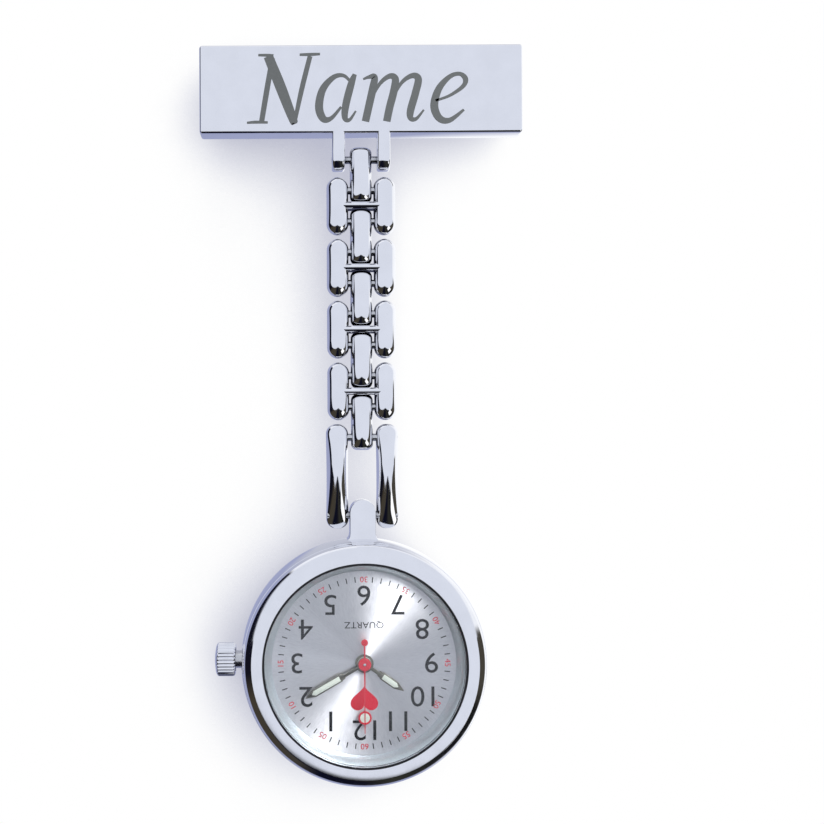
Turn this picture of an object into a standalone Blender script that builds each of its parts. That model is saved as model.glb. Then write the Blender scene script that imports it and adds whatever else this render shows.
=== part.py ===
"""Fob watch: a name badge with a brooch pin, a link chain and a quartz watch that hangs upside down.

Stored hanging as worn: +Z is up, the fronts face -Y, and the origin is the middle of the brooch pin.
Blender 4.5, metres.
"""

import math

import bmesh
import bpy
from mathutils import Matrix, Vector

MM = 0.001

# ---------------------------------------------------------------- driving dimensions

# Fits
RUN = 0.05 * MM  # radial play of a pivot, a pin or a shaft in its bore
SEAT = 0.05 * MM  # gap kept between two pieces that are pressed or stacked together
SWING = 0.12 * MM  # gap kept between a link's end and the web that it swings past

# Badge
BADGE_WIDTH = 38.8 * MM
BADGE_HEIGHT = 10.6 * MM
BADGE_DEPTH = 2.8 * MM
BADGE_EDGE = 0.3 * MM  # rounding of the plate's edges
RECESS_SIDE = 2.4 * MM  # rim left beside the recess in the back
RECESS_RIM = 2.0 * MM  # rim left above and below it
RECESS_DEPTH = 0.9 * MM
EAR_WIDTH = 1.56 * MM
EAR_PLAY = 0.7 * MM  # from the first centre link to each ear
EAR_ROOM = 1.41 * MM  # from the plate's lower edge to the first link's round end

# Brooch
NEEDLE_BEHIND = 1.9 * MM  # from the badge's back face to the needle's centre line
NEEDLE_RADIUS = 0.45 * MM
NEEDLE_TAPER = 3.0 * MM
NEEDLE_OVERHANG = 2.6 * MM  # how far the tip passes the catch's middle
BROOCH_MARGIN = 1.5 * MM  # from the recess's end to the brooch bar's end
BROOCH_HEIGHT = 4.2 * MM
BROOCH_THICKNESS = 0.7 * MM
PIVOT_INSET = 3.0 * MM  # from the bar's end to the needle's pivot
CATCH_INSET = 3.5 * MM  # from the bar's other end to the catch's middle
RIVET_RADIUS = 0.4 * MM
EYE_RADIUS = 1.05 * MM
EYE_THICKNESS = 1.2 * MM
PIVOT_TAB = 0.55 * MM  # thickness of each pivot tab
CATCH_WALL = 0.45 * MM
CATCH_LENGTH = 1.6 * MM
ROLLER_RADIUS = 1.15 * MM
ROLLER_BORE = 0.62 * MM
ROLLER_OVERHANG = 0.9 * MM  # how far the roller's grip stands out of the catch
ROLLER_LEVER = 1.85 * MM  # from the roller's axis to the end of its thumb tab
CATCH_SLOT = 1.1 * MM

# Chain
CHAIN_DEPTH = 2.4 * MM
LINK_WIDTH = 2.5 * MM  # centre links and side bars alike
LINK_PLAY = 0.35 * MM  # from a centre link to each bar beside it
LINK_END_GAP = 0.46 * MM  # between the ends of two side links in a row
LINK_CORNER = 0.75 * MM  # corner radius of a centre link seen from the front
LINK_FULLNESS = 0.68  # 1 makes a bar's section an ellipse, less makes its corners fuller
CENTRE_END = 1.53 * MM  # end radius of a centre link, round its pin
SIDE_END = 1.62 * MM
WEB_DEPTH = 1.9 * MM
WEB_THICKNESS = 0.47 * MM  # where the side link's web is thinnest
END_BAR_SPACING = 9.4 * MM
END_BAR_WIDTH = 2.6 * MM
END_BAR_WAIST = 0.12 * MM  # how far each side of an end bar draws in at half length
END_BAR_BOW = 0.5 * MM  # how far an end bar bows forward at half length
END_BAR_CORNER = 1.17 * MM
END_BAR_PLAY = 0.15 * MM  # from the lug to each end bar
PIN_RADIUS = 0.45 * MM
CENTRE_LINKS = 5

# Case
LUG_RISE = 2.8 * MM  # from the case's edge to the lug's pin
LUG_WIDTH = 3.1 * MM
LUG_ABOVE = 1.9 * MM  # metal above the lug's pin
LUG_DEPTH = 2.2 * MM
LUG_FLARE = 0.31 * MM  # how much the lug widens on each side where it meets the case
LUG_FLARE_RISE = 0.8 * MM
LUG_SINK = 0.5 * MM  # how deep the lug runs into the case
CASE_RADIUS = 14.7 * MM
CASE_WALL = 2.0 * MM
CASE_WAIST = 0.6 * MM  # half height of the straight band round the case
BEZEL_INSET = 0.25 * MM  # from the case's edge in to the bezel's
BEZEL_ROUND = 1.45 * MM  # width of the bezel's rounded outer edge
BEZEL_HEIGHT = 1.15 * MM
BEZEL_LIP = 0.15 * MM
BACK_INSET = 1.3 * MM  # from the case's edge in to the back's
BACK_THICKNESS = 0.8 * MM
BACK_EDGE = 0.35 * MM  # height of the back's sloping edge
BACK_SLOPE = 1.0 * MM
BACK_LIP_DEPTH = 0.6 * MM
BACK_LIP_WIDTH = 0.5 * MM
BACK_SEAL_WIDTH = 0.4 * MM
BACK_SEAL_DEPTH = 0.35 * MM
CRYSTAL_INSET = 0.82 * MM  # how much smaller the crystal's radius is than the case's bore
CRYSTAL_THICKNESS = 1.15 * MM
CRYSTAL_DOME = 0.15 * MM
CRYSTAL_CHAMFER = 0.2 * MM
GASKET_WIDTH = 0.14 * MM
DIAL_FRONT = 1.45 * MM
DIAL_THICKNESS = 0.4 * MM
FLANGE_WIDTH = 1.7 * MM  # of the sloped ring between the dial and the crystal
DIAL_HOLE = 1.0 * MM

# Crown and stem
STEM_HEIGHT = -0.45 * MM
STEM_RADIUS = 0.5 * MM
STEM_SQUARE = 0.5 * MM
CROWN_RADIUS = 2.0 * MM
CROWN_LENGTH = 2.5 * MM
CROWN_GAP = 0.75 * MM  # from the case to the crown when it is pushed in
CROWN_WALL = 0.8 * MM
CROWN_SHOULDER = 0.6 * MM
CROWN_DOME = 0.15 * MM
CROWN_FLUTES = 26
CROWN_SEAL = 0.4 * MM  # from the tube out to the crown's bore
FLUTE_DEPTH = 0.13 * MM
TUBE_WALL = 0.45 * MM
TUBE_IN_CROWN = 1.25 * MM
STEM_IN_CROWN = 0.45 * MM  # how deep the stem sits in the crown's head
SQUARE_START = 4.4 * MM  # distances from the dial's centre, out along the stem
SQUARE_END = 7.9 * MM
CLUTCH_START = 5.6 * MM
CLUTCH_END = 6.6 * MM

# Movement
PLATE_RADIUS = 9.8 * MM
PLATE_THICKNESS = 1.2 * MM
POCKET_DEPTH = 0.6 * MM
PIVOT_DEPTH = 0.25 * MM
BRIDGE_THICKNESS = 0.25 * MM
PIVOT_RADIUS = 0.12 * MM
ARBOR_RADIUS = 0.16 * MM
WHEEL_THICKNESS = 0.15 * MM
PINION_LENGTH = 0.55 * MM
TRAIN_MODULE = 0.1 * MM  # seconds wheel and intermediate pinion
THIRD_MODULE = 0.107 * MM  # third wheel and seconds pinion
STEP_MODULE = 0.088 * MM  # rotor pinion and intermediate wheel
MOTION_MODULE = 0.12 * MM  # cannon pinion, minute wheel and setting wheel
BATTERY_RADIUS = 3.4 * MM
BATTERY_THICKNESS = 2.15 * MM
BATTERY_STEP = 0.4 * MM  # height of the narrower terminal
BATTERY_CENTRE = (4.6 * MM, -4.0 * MM)
STRAP_THICKNESS = 0.12 * MM
STRAP_WIDTH = 1.6 * MM
STRAP_LENGTH = 6.6 * MM
STRAP_TURN = -25  # degrees
COIL_RADIUS = 1.0 * MM
COIL_LENGTH = 5.4 * MM
COIL_OFFSET = 3.1 * MM  # from the rotor to the coil's centre line
STATOR_THICKNESS = 0.4 * MM
STATOR_ARM = 0.9 * MM
STATOR_BAR = 1.15 * MM  # half width of the stator's bar round the rotor
MAGNET_RADIUS = 0.65 * MM
MAGNET_LENGTH = 0.5 * MM
MAGNET_GAP = 0.25 * MM
MOTOR_TURN = -27  # degrees between the coil's length and the dial's width
MOTOR_SLIDE = 0.6 * MM  # from the rotor to the middle of the stator, along the coil
CANNON_RADIUS = 0.45 * MM
HOUR_TUBE_WALL = 0.27 * MM
BRIDGE_FOOT_RADIUS = 0.6 * MM
BRIDGE_FEET = ((2.9 * MM, 4.0 * MM), (-5.3 * MM, 2.5 * MM))
BRIDGE_CORNERS = ((-6.0, 3.6), (3.2, 4.8), (3.8, 3.4), (1.6, -0.9), (-1.7, -4.4), (-4.5, -4.4),
                  (-4.6, -0.4), (-6.2, 1.6))  # millimetres
BOARD_CORNERS = ((3.8, 0.5), (9.0, 0.5), (8.4, 4.0), (6.6, 6.6), (4.2, 8.2), (4.0, 5.0), (4.2, 3.0))
BOARD_THICKNESS = 0.25 * MM
QUARTZ_RADIUS = 0.7 * MM
QUARTZ_LENGTH = 4.4 * MM
QUARTZ_CENTRE = (5.9 * MM, 3.6 * MM)
QUARTZ_TURN = 12  # degrees

# Tooth counts
ROTOR_PINION = 8
STEP_WHEEL = 40
STEP_PINION = 8
SECONDS_WHEEL = 48
SECONDS_PINION = 6
THIRD_WHEEL = 45
THIRD_PINION = 6
CENTRE_WHEEL = 48
CANNON_PINION = 10
MINUTE_WHEEL = 30
MINUTE_PINION = 8
HOUR_WHEEL = 32
SETTING_WHEEL = 20
CLUTCH_TEETH = 12

# Hands
HAND_THICKNESS = 0.14 * MM
HAND_LIFT = 0.17 * MM  # from the dial up to the hour hand
HAND_STEP = 0.3 * MM  # from one hand up to the next
HAND_ROOM = 0.29 * MM  # from the second hand up to the case's shoulder
HOUR_LENGTH = 5.7 * MM
HOUR_BLADE = (1.8 * MM, 4.5 * MM)  # where the blade starts and where it begins to point
HOUR_NECK = 0.25 * MM  # half widths of the neck and the blade
HOUR_BREADTH = 0.5 * MM
MINUTE_LENGTH = 8.1 * MM
MINUTE_BLADE = (2.6 * MM, 6.7 * MM)
MINUTE_NECK = 0.18 * MM
MINUTE_BREADTH = 0.45 * MM
HAND_SHOULDER = 0.4 * MM  # length over which the neck widens to the blade
HAND_COLLAR = 0.25 * MM  # metal round the hour and minute hands' bores
SECOND_LENGTH = 8.2 * MM
SECOND_TAIL = 3.0 * MM
SECOND_HUB = 0.6 * MM
SECOND_DISC = 0.4 * MM  # radius of the disc at the end of the tail
SECOND_WIDTH = 0.2 * MM
TIME_HOURS = 10
TIME_MINUTES = 10

# Facets round a full circle
ROUND = 36
SMALL_ROUND = 16
PIN_ROUND = 12
LINK_FACETS = 10


# ---------------------------------------------------------------- tools

def clear_scene():
    for piece in list(bpy.data.objects):
        bpy.data.objects.remove(piece)


def skin(rings, loop=False):
    """A closed mesh through rings of points; a ring of one point is a pole. loop joins last to first."""
    mesh = bmesh.new()
    rows = [[mesh.verts.new(point) for point in ring] for ring in rings]
    pairs = list(zip(rows, rows[1:]))
    if loop:
        pairs.append((rows[-1], rows[0]))
    for lower, upper in pairs:
        count = max(len(lower), len(upper))
        for i in range(count):
            j = (i + 1) % count
            corners = [lower[i % len(lower)], lower[j % len(lower)],
                       upper[j % len(upper)], upper[i % len(upper)]]
            mesh.faces.new(list(dict.fromkeys(corners)))
    if not loop:
        for row in (rows[0], rows[-1]):
            if len(row) > 2:
                mesh.faces.new(row)
    bmesh.ops.recalc_face_normals(mesh, faces=mesh.faces)
    return mesh


def circle(radius, height, segments):
    if radius == 0.0:
        return [Vector((0.0, 0.0, height))]
    step = 2 * math.pi / segments
    angles = [i * step for i in range(segments)]
    return [Vector((radius * math.cos(a), radius * math.sin(a), height)) for a in angles]


def turned(profile, segments=ROUND, loop=False):
    """A solid of revolution about Z from (radius, height) pairs; loop is for a ring's closed section."""
    return skin([circle(radius, height, segments) for radius, height in profile], loop)


def rod(radius, low, high, segments=PIN_ROUND):
    return turned([(radius, low), (radius, high)], segments)


def tube(outer, inner, low, high, segments=ROUND):
    return turned([(inner, low), (outer, low), (outer, high), (inner, high)], segments, loop=True)


def prism(outline, low, high):
    return skin([[Vector((x, y, z)) for x, y in outline] for z in (low, high)])


def prism_along_x(outline, low, high):
    """A prism that runs along X, from an outline of (y, z) pairs."""
    return skin([[Vector((x, y, z)) for y, z in outline] for x in (low, high)])


def box(low, high):
    outline = [(low[0], low[1]), (high[0], low[1]), (high[0], high[1]), (low[0], high[1])]
    return prism(outline, low[2], high[2])


def turn(mesh, degrees, axis):
    rotation = Matrix.Rotation(math.radians(degrees), 3, axis)
    bmesh.ops.rotate(mesh, verts=mesh.verts, cent=(0, 0, 0), matrix=rotation)
    return mesh


def shift(mesh, x=0.0, y=0.0, z=0.0):
    bmesh.ops.translate(mesh, verts=mesh.verts, vec=(x, y, z))
    return mesh


def arc(centre, radius, start, end, steps):
    """Points on an arc in the plane, from start to end in degrees."""
    angles = [math.radians(start + (end - start) * i / steps) for i in range(steps + 1)]
    return [(centre[0] + radius * math.cos(a), centre[1] + radius * math.sin(a)) for a in angles]


def square_rod(side, low, high):
    half = side / 2
    return box((-half, -half, low), (half, half, high))


def solid(mesh):
    """An unplaced object at the world's origin, ready for cuts and unions."""
    data = bpy.data.meshes.new("solid")
    mesh.to_mesh(data)
    mesh.free()
    piece = bpy.data.objects.new("solid", data)
    bpy.context.scene.collection.objects.link(piece)
    return piece


def combine(piece, tool_mesh, operation):
    tool = solid(tool_mesh)
    modifier = piece.modifiers.new("combine", "BOOLEAN")
    modifier.operation = operation
    modifier.solver = "EXACT"
    modifier.object = tool
    depsgraph = bpy.context.evaluated_depsgraph_get()
    result = bpy.data.meshes.new_from_object(piece.evaluated_get(depsgraph))
    piece.modifiers.clear()
    piece.data = result
    bpy.data.objects.remove(tool)
    return piece


def cut(piece, *meshes):
    for mesh in meshes:
        combine(piece, mesh, "DIFFERENCE")
    return piece


def fuse(piece, *meshes):
    for mesh in meshes:
        combine(piece, mesh, "UNION")
    return piece


def rounded(piece, width, segments=2):
    """Rounds the edges between faces that meet at more than 30 degrees."""
    modifier = piece.modifiers.new("rounding", "BEVEL")
    modifier.width = width
    modifier.segments = segments
    modifier.limit_method = "ANGLE"
    modifier.angle_limit = math.radians(30)
    depsgraph = bpy.context.evaluated_depsgraph_get()
    piece.data = bpy.data.meshes.new_from_object(piece.evaluated_get(depsgraph))
    piece.modifiers.clear()
    return piece


def frame(name, location, rotation=(0.0, 0.0, 0.0), parent=None):
    empty = bpy.data.objects.new(name, None)
    bpy.context.scene.collection.objects.link(empty)
    empty.location = location
    empty.rotation_euler = [math.radians(angle) for angle in rotation]
    empty.parent = parent
    return empty


def place(piece, name, material, location=(0.0, 0.0, 0.0), parent=None, rotation=(0.0, 0.0, 0.0)):
    piece.name = name
    piece.data.name = name
    piece.data.materials.clear()
    piece.data.materials.append(material)
    piece.data.shade_smooth()
    piece.data.set_sharp_from_angle(angle=math.radians(35))
    piece.location = location
    piece.rotation_euler = [math.radians(angle) for angle in rotation]
    piece.parent = parent
    return piece


def place_copy(piece, name, location, parent=None):
    twin = bpy.data.objects.new(name, piece.data)
    bpy.context.scene.collection.objects.link(twin)
    twin.location = location
    twin.rotation_euler = piece.rotation_euler
    twin.parent = parent
    return twin


def finish_colour(name, colour, roughness, metallic):
    material = bpy.data.materials.new(name)
    material.use_nodes = True
    shader = material.node_tree.nodes["Principled BSDF"]
    shader.inputs["Base Color"].default_value = (*colour, 1.0)
    shader.inputs["Roughness"].default_value = roughness
    shader.inputs["Metallic"].default_value = metallic
    material.diffuse_color = (*colour, 1.0)
    return material


clear_scene()

CHROME = finish_colour("polished_chrome", (0.78, 0.79, 0.83), 0.06, 1.0)
STEEL = finish_colour("plain_steel", (0.56, 0.57, 0.58), 0.3, 1.0)
GUNMETAL = finish_colour("dark_hand_metal", (0.12, 0.12, 0.11), 0.3, 1.0)
RED_PAINT = finish_colour("red_hand_paint", (0.65, 0.01, 0.03), 0.4, 0.0)
DIAL_SILVER = finish_colour("silver_dial", (0.62, 0.62, 0.66), 0.35, 0.9)
GLASS = finish_colour("mineral_glass", (0.95, 0.97, 0.98), 0.03, 0.0)
RUBBER = finish_colour("black_rubber", (0.02, 0.02, 0.02), 0.7, 0.0)
BRASS = finish_colour("wheel_brass", (0.72, 0.55, 0.25), 0.3, 1.0)
NYLON = finish_colour("white_nylon", (0.82, 0.82, 0.78), 0.5, 0.0)
COPPER = finish_colour("coil_copper", (0.7, 0.33, 0.16), 0.4, 1.0)
BOARD = finish_colour("circuit_green", (0.03, 0.16, 0.07), 0.5, 0.0)


# ---------------------------------------------------------------- badge

BADGE_BACK = -NEEDLE_BEHIND
CHAIN_Y = BADGE_BACK - BADGE_DEPTH / 2
EAR_DROP = CENTRE_END + EAR_ROOM
EAR_GAP = LINK_WIDTH + 2 * EAR_PLAY
TOP_HINGE_Z = -BADGE_HEIGHT / 2 - EAR_DROP
RECESS_WIDTH = BADGE_WIDTH - 2 * RECESS_SIDE
RECESS_HEIGHT = BADGE_HEIGHT - 2 * RECESS_RIM
BROOCH_LENGTH = RECESS_WIDTH - 2 * BROOCH_MARGIN
PIVOT_X = BROOCH_LENGTH / 2 - PIVOT_INSET
CATCH_X = CATCH_INSET - BROOCH_LENGTH / 2
CATCH_RADIUS = ROLLER_RADIUS + RUN + CATCH_WALL


def side_pin(length):
    """A hinge pin along X, centred on the origin."""
    return turn(rod(PIN_RADIUS, -length / 2, length / 2), 90, "Y")


def pin_bore(length):
    return turn(rod(PIN_RADIUS + RUN, -length / 2, length / 2), 90, "Y")


def make_badge():
    plate = solid(box((-BADGE_WIDTH / 2, -BADGE_DEPTH / 2, -BADGE_HEIGHT / 2),
                      (BADGE_WIDTH / 2, BADGE_DEPTH / 2, BADGE_HEIGHT / 2)))
    rounded(plate, BADGE_EDGE)
    half = BADGE_DEPTH / 2
    root = EAR_DROP + 2 * BADGE_EDGE
    ear = [(half, root), (-half, root)] + arc((0, 0), half, 180, 360, 8)
    outer = EAR_GAP / 2 + EAR_WIDTH
    for low in (-outer, EAR_GAP / 2):
        fuse(plate, shift(prism_along_x(ear, low, low + EAR_WIDTH), z=TOP_HINGE_Z))
    cut(plate, shift(pin_bore(4 * outer), z=TOP_HINGE_Z))
    recess = box((-RECESS_WIDTH / 2, BADGE_DEPTH / 2 - RECESS_DEPTH, -RECESS_HEIGHT / 2),
                 (RECESS_WIDTH / 2, BADGE_DEPTH, RECESS_HEIGHT / 2))
    cut(plate, recess)
    place(plate, "badge_plate", CHROME, (0, CHAIN_Y, 0))
    pin = solid(side_pin(EAR_GAP + 2 * EAR_WIDTH - 2 * SEAT))
    place(pin, "badge_hinge_pin", STEEL, (0, CHAIN_Y, TOP_HINGE_Z))


def make_brooch():
    floor = BADGE_BACK - RECESS_DEPTH
    low = floor + SEAT
    top = low + BROOCH_THICKNESS
    bar = solid(box((-BROOCH_LENGTH / 2, low, -BROOCH_HEIGHT / 2),
                    (BROOCH_LENGTH / 2, top, BROOCH_HEIGHT / 2)))
    rounded(bar, BROOCH_THICKNESS / 4, 1)
    inside = low + BROOCH_THICKNESS / 2
    tab_start = EYE_THICKNESS / 2 + 2 * RUN
    for side in (-1, 1):
        outline = [(-EYE_RADIUS, inside), (EYE_RADIUS, inside)] + arc((0, 0), EYE_RADIUS, 0, 180, 6)
        ends = sorted((side * tab_start, side * (tab_start + PIVOT_TAB)))
        fuse(bar, shift(prism(outline, ends[0], ends[1]), x=PIVOT_X))
    cut(bar, shift(rod(RIVET_RADIUS + RUN, -BROOCH_HEIGHT, BROOCH_HEIGHT), x=PIVOT_X))
    half = CATCH_LENGTH / 2
    catch = turn(rod(CATCH_RADIUS, -half, half, SMALL_ROUND), 90, "Y")
    foot = box((-half, inside, -CATCH_RADIUS * 0.7), (half, -ROLLER_RADIUS, CATCH_RADIUS * 0.7))
    fuse(bar, shift(catch, x=CATCH_X), shift(foot, x=CATCH_X))
    bore = turn(rod(ROLLER_RADIUS + RUN, -CATCH_LENGTH, CATCH_LENGTH, SMALL_ROUND), 90, "Y")
    mouth = box((-CATCH_LENGTH, 0, -CATCH_SLOT / 2), (CATCH_LENGTH, 2 * CATCH_RADIUS, CATCH_SLOT / 2))
    cut(bar, shift(bore, x=CATCH_X), shift(mouth, x=CATCH_X))
    place(bar, "brooch_bar", STEEL)

    rivet_half = tab_start + PIVOT_TAB - SEAT
    place(solid(rod(RIVET_RADIUS, -rivet_half, rivet_half)), "brooch_rivet", STEEL, (PIVOT_X, 0, 0))

    reach = PIVOT_X - CATCH_X + NEEDLE_OVERHANG
    shaft = [(0, 0), (NEEDLE_RADIUS, 0), (NEEDLE_RADIUS, reach - NEEDLE_TAPER),
             (NEEDLE_RADIUS * 0.3, reach), (0, reach)]
    needle = solid(turn(turned(shaft, PIN_ROUND), -90, "Y"))
    fuse(needle, rod(EYE_RADIUS, -EYE_THICKNESS / 2, EYE_THICKNESS / 2, SMALL_ROUND))
    cut(needle, rod(RIVET_RADIUS + RUN, -EYE_THICKNESS, EYE_THICKNESS))
    place(needle, "brooch_needle", STEEL, (PIVOT_X, 0, 0))

    roller = solid(turn(rod(ROLLER_RADIUS, -half - ROLLER_OVERHANG, half, SMALL_ROUND), 90, "Y"))
    grip_start = half + 2 * RUN
    grip_end = half + ROLLER_OVERHANG
    lever = box((-grip_end, -NEEDLE_RADIUS, -ROLLER_LEVER), (-grip_start, NEEDLE_RADIUS, -ROLLER_BORE))
    fuse(roller, lever)
    through = CATCH_LENGTH + ROLLER_OVERHANG
    slot = box((-through, 0, -CATCH_SLOT / 2), (through, 2 * ROLLER_RADIUS, CATCH_SLOT / 2))
    cut(roller, turn(rod(ROLLER_BORE, -through, through, PIN_ROUND), 90, "Y"), slot)
    place(roller, "safety_roller", STEEL, (CATCH_X, 0, 0))


# ---------------------------------------------------------------- chain

CENTRE_SPACING = 2 * SIDE_END + LINK_END_GAP
SIDE_SPACING = 2 * (CENTRE_END + SWING) + WEB_THICKNESS
SIDE_GAP = LINK_WIDTH + 2 * LINK_PLAY
END_BAR_GAP = LUG_WIDTH + 2 * END_BAR_PLAY


def link_bar(width, spacing, end_radius, corner, waist=0.0, bow=0.0):
    """A crowned bar hanging down from the origin. Its ends are round about their pins seen from the side,
    and have the given corner radius seen from the front. Waist narrows it at half length, and bow brings
    it forward there."""
    heights = [end_radius * math.sin(math.radians(tilt)) for tilt in (90, 70, 47, 18)]
    middle = [-spacing * share for share in (0.25, 0.5, 0.75)] if waist else []
    stations = heights + middle + [-spacing - height for height in reversed(heights)]
    rings = []
    for height in stations:
        beyond = max(height, -spacing - height, 0.0)
        half_depth = min(CHAIN_DEPTH / 2, math.sqrt(max(end_radius ** 2 - beyond ** 2, 0.0)))
        into_corner = max(beyond - (end_radius - corner), 0.0)
        half_width = width / 2 - corner + math.sqrt(max(corner ** 2 - into_corner ** 2, 0.0))
        swell = math.sin(math.pi * min(max(-height / spacing, 0.0), 1.0))
        half_width -= waist * swell
        if half_depth < end_radius * 0.02:
            rings.append([Vector((0, 0, height))])
            continue
        ring = []
        for i in range(LINK_FACETS):
            angle = 2 * math.pi * (i + 0.5) / LINK_FACETS
            across = math.copysign(abs(math.cos(angle)) ** LINK_FULLNESS, math.cos(angle))
            along = math.copysign(abs(math.sin(angle)) ** LINK_FULLNESS, math.sin(angle))
            ring.append(Vector((half_width * across, half_depth * along - bow * swell, height)))
        rings.append(ring)
    return skin(rings)


def web_outline():
    """Side link's web as (y, z) pairs: what is left between the spaces that two centre links swing in."""
    clear = CENTRE_END + SWING
    half = WEB_DEPTH / 2
    lean = math.degrees(math.asin(half / clear))
    upper = arc((0, 0), clear, 270 - lean, 270 + lean, 4)
    lower = arc((0, -SIDE_SPACING), clear, 90 - lean, 90 + lean, 4)
    return upper + lower


def make_chain():
    """Returns the height of the lug's pin."""
    centre = solid(link_bar(LINK_WIDTH, CENTRE_SPACING, CENTRE_END, LINK_CORNER))
    cut(centre, pin_bore(2 * LINK_WIDTH), shift(pin_bore(2 * LINK_WIDTH), z=-CENTRE_SPACING))

    offset = SIDE_GAP / 2 + LINK_WIDTH / 2
    across = SIDE_GAP + 2 * LINK_WIDTH
    side = solid(shift(link_bar(LINK_WIDTH, SIDE_SPACING, SIDE_END, LINK_WIDTH / 2), x=-offset))
    fuse(side, prism_along_x(web_outline(), -offset, offset),
         shift(link_bar(LINK_WIDTH, SIDE_SPACING, SIDE_END, LINK_WIDTH / 2), x=offset))
    cut(side, pin_bore(2 * across), shift(pin_bore(2 * across), z=-SIDE_SPACING))

    pin = solid(side_pin(across - 2 * SEAT))
    height = TOP_HINGE_Z
    for number in range(1, CENTRE_LINKS + 1):
        location = (0, CHAIN_Y, height)
        if number == 1:
            place(centre, "centre_link_1", CHROME, location)
        else:
            place_copy(centre, f"centre_link_{number}", location)
        height -= CENTRE_SPACING
        if number == CENTRE_LINKS:
            break
        location = (0, CHAIN_Y, height)
        below = (0, CHAIN_Y, height - SIDE_SPACING)
        if number == 1:
            place(side, "side_link_1", CHROME, location)
            place(pin, "side_pin_1_top", STEEL, location)
        else:
            place_copy(side, f"side_link_{number}", location)
            place_copy(pin, f"side_pin_{number}_top", location)
        place_copy(pin, f"side_pin_{number}_bottom", below)
        height -= SIDE_SPACING

    end_offset = END_BAR_GAP / 2 + END_BAR_WIDTH / 2
    end_across = END_BAR_GAP + 2 * END_BAR_WIDTH
    hinge = frame("end_bars_hinge", (0, CHAIN_Y, height))
    for name, sign in (("end_bar_left", -1), ("end_bar_right", 1)):
        bar = solid(link_bar(END_BAR_WIDTH, END_BAR_SPACING, SIDE_END, END_BAR_CORNER, END_BAR_WAIST,
                             END_BAR_BOW))
        cut(bar, pin_bore(2 * END_BAR_WIDTH), shift(pin_bore(2 * END_BAR_WIDTH), z=-END_BAR_SPACING))
        place(bar, name, CHROME, (sign * end_offset, 0, 0), hinge)
    end_pin = solid(side_pin(end_across - 2 * SEAT))
    place(end_pin, "end_pin_top", STEEL, (0, 0, 0), hinge)
    place_copy(end_pin, "end_pin_bottom", (0, 0, -END_BAR_SPACING), hinge)
    return height - END_BAR_SPACING


# ---------------------------------------------------------------- case
# The watch's own frame: origin at the dial's centre, Z out of the dial, Y up, X to the right.

PLATE_FRONT = DIAL_FRONT - DIAL_THICKNESS - 2 * SEAT
PLATE_BACK = PLATE_FRONT - PLATE_THICKNESS
HOUR_HAND_Z = DIAL_FRONT + HAND_LIFT
MINUTE_HAND_Z = HOUR_HAND_Z + HAND_STEP
SECOND_HAND_Z = MINUTE_HAND_Z + HAND_STEP
CASE_FRONT = SECOND_HAND_Z + HAND_THICKNESS + HAND_ROOM
CASE_BACK = PLATE_BACK - BATTERY_THICKNESS - STRAP_THICKNESS - 5 * SEAT
CASE_BORE = CASE_RADIUS - CASE_WALL
BEZEL_RADIUS = CASE_RADIUS - BEZEL_INSET
BACK_RADIUS = CASE_RADIUS - BACK_INSET
CRYSTAL_RADIUS = CASE_BORE - CRYSTAL_INSET
LUG_DROP = CASE_RADIUS + LUG_RISE


def quarter(inner, outer, low, high, steps):
    """A quarter ellipse as (radius, height) pairs, upright at (outer, low) and level at (inner, high)."""
    tilts = [math.radians(90 * i / steps) for i in range(steps + 1)]
    return [(inner + (outer - inner) * math.cos(tilt), low + (high - low) * math.sin(tilt)) for tilt in tilts]


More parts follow.
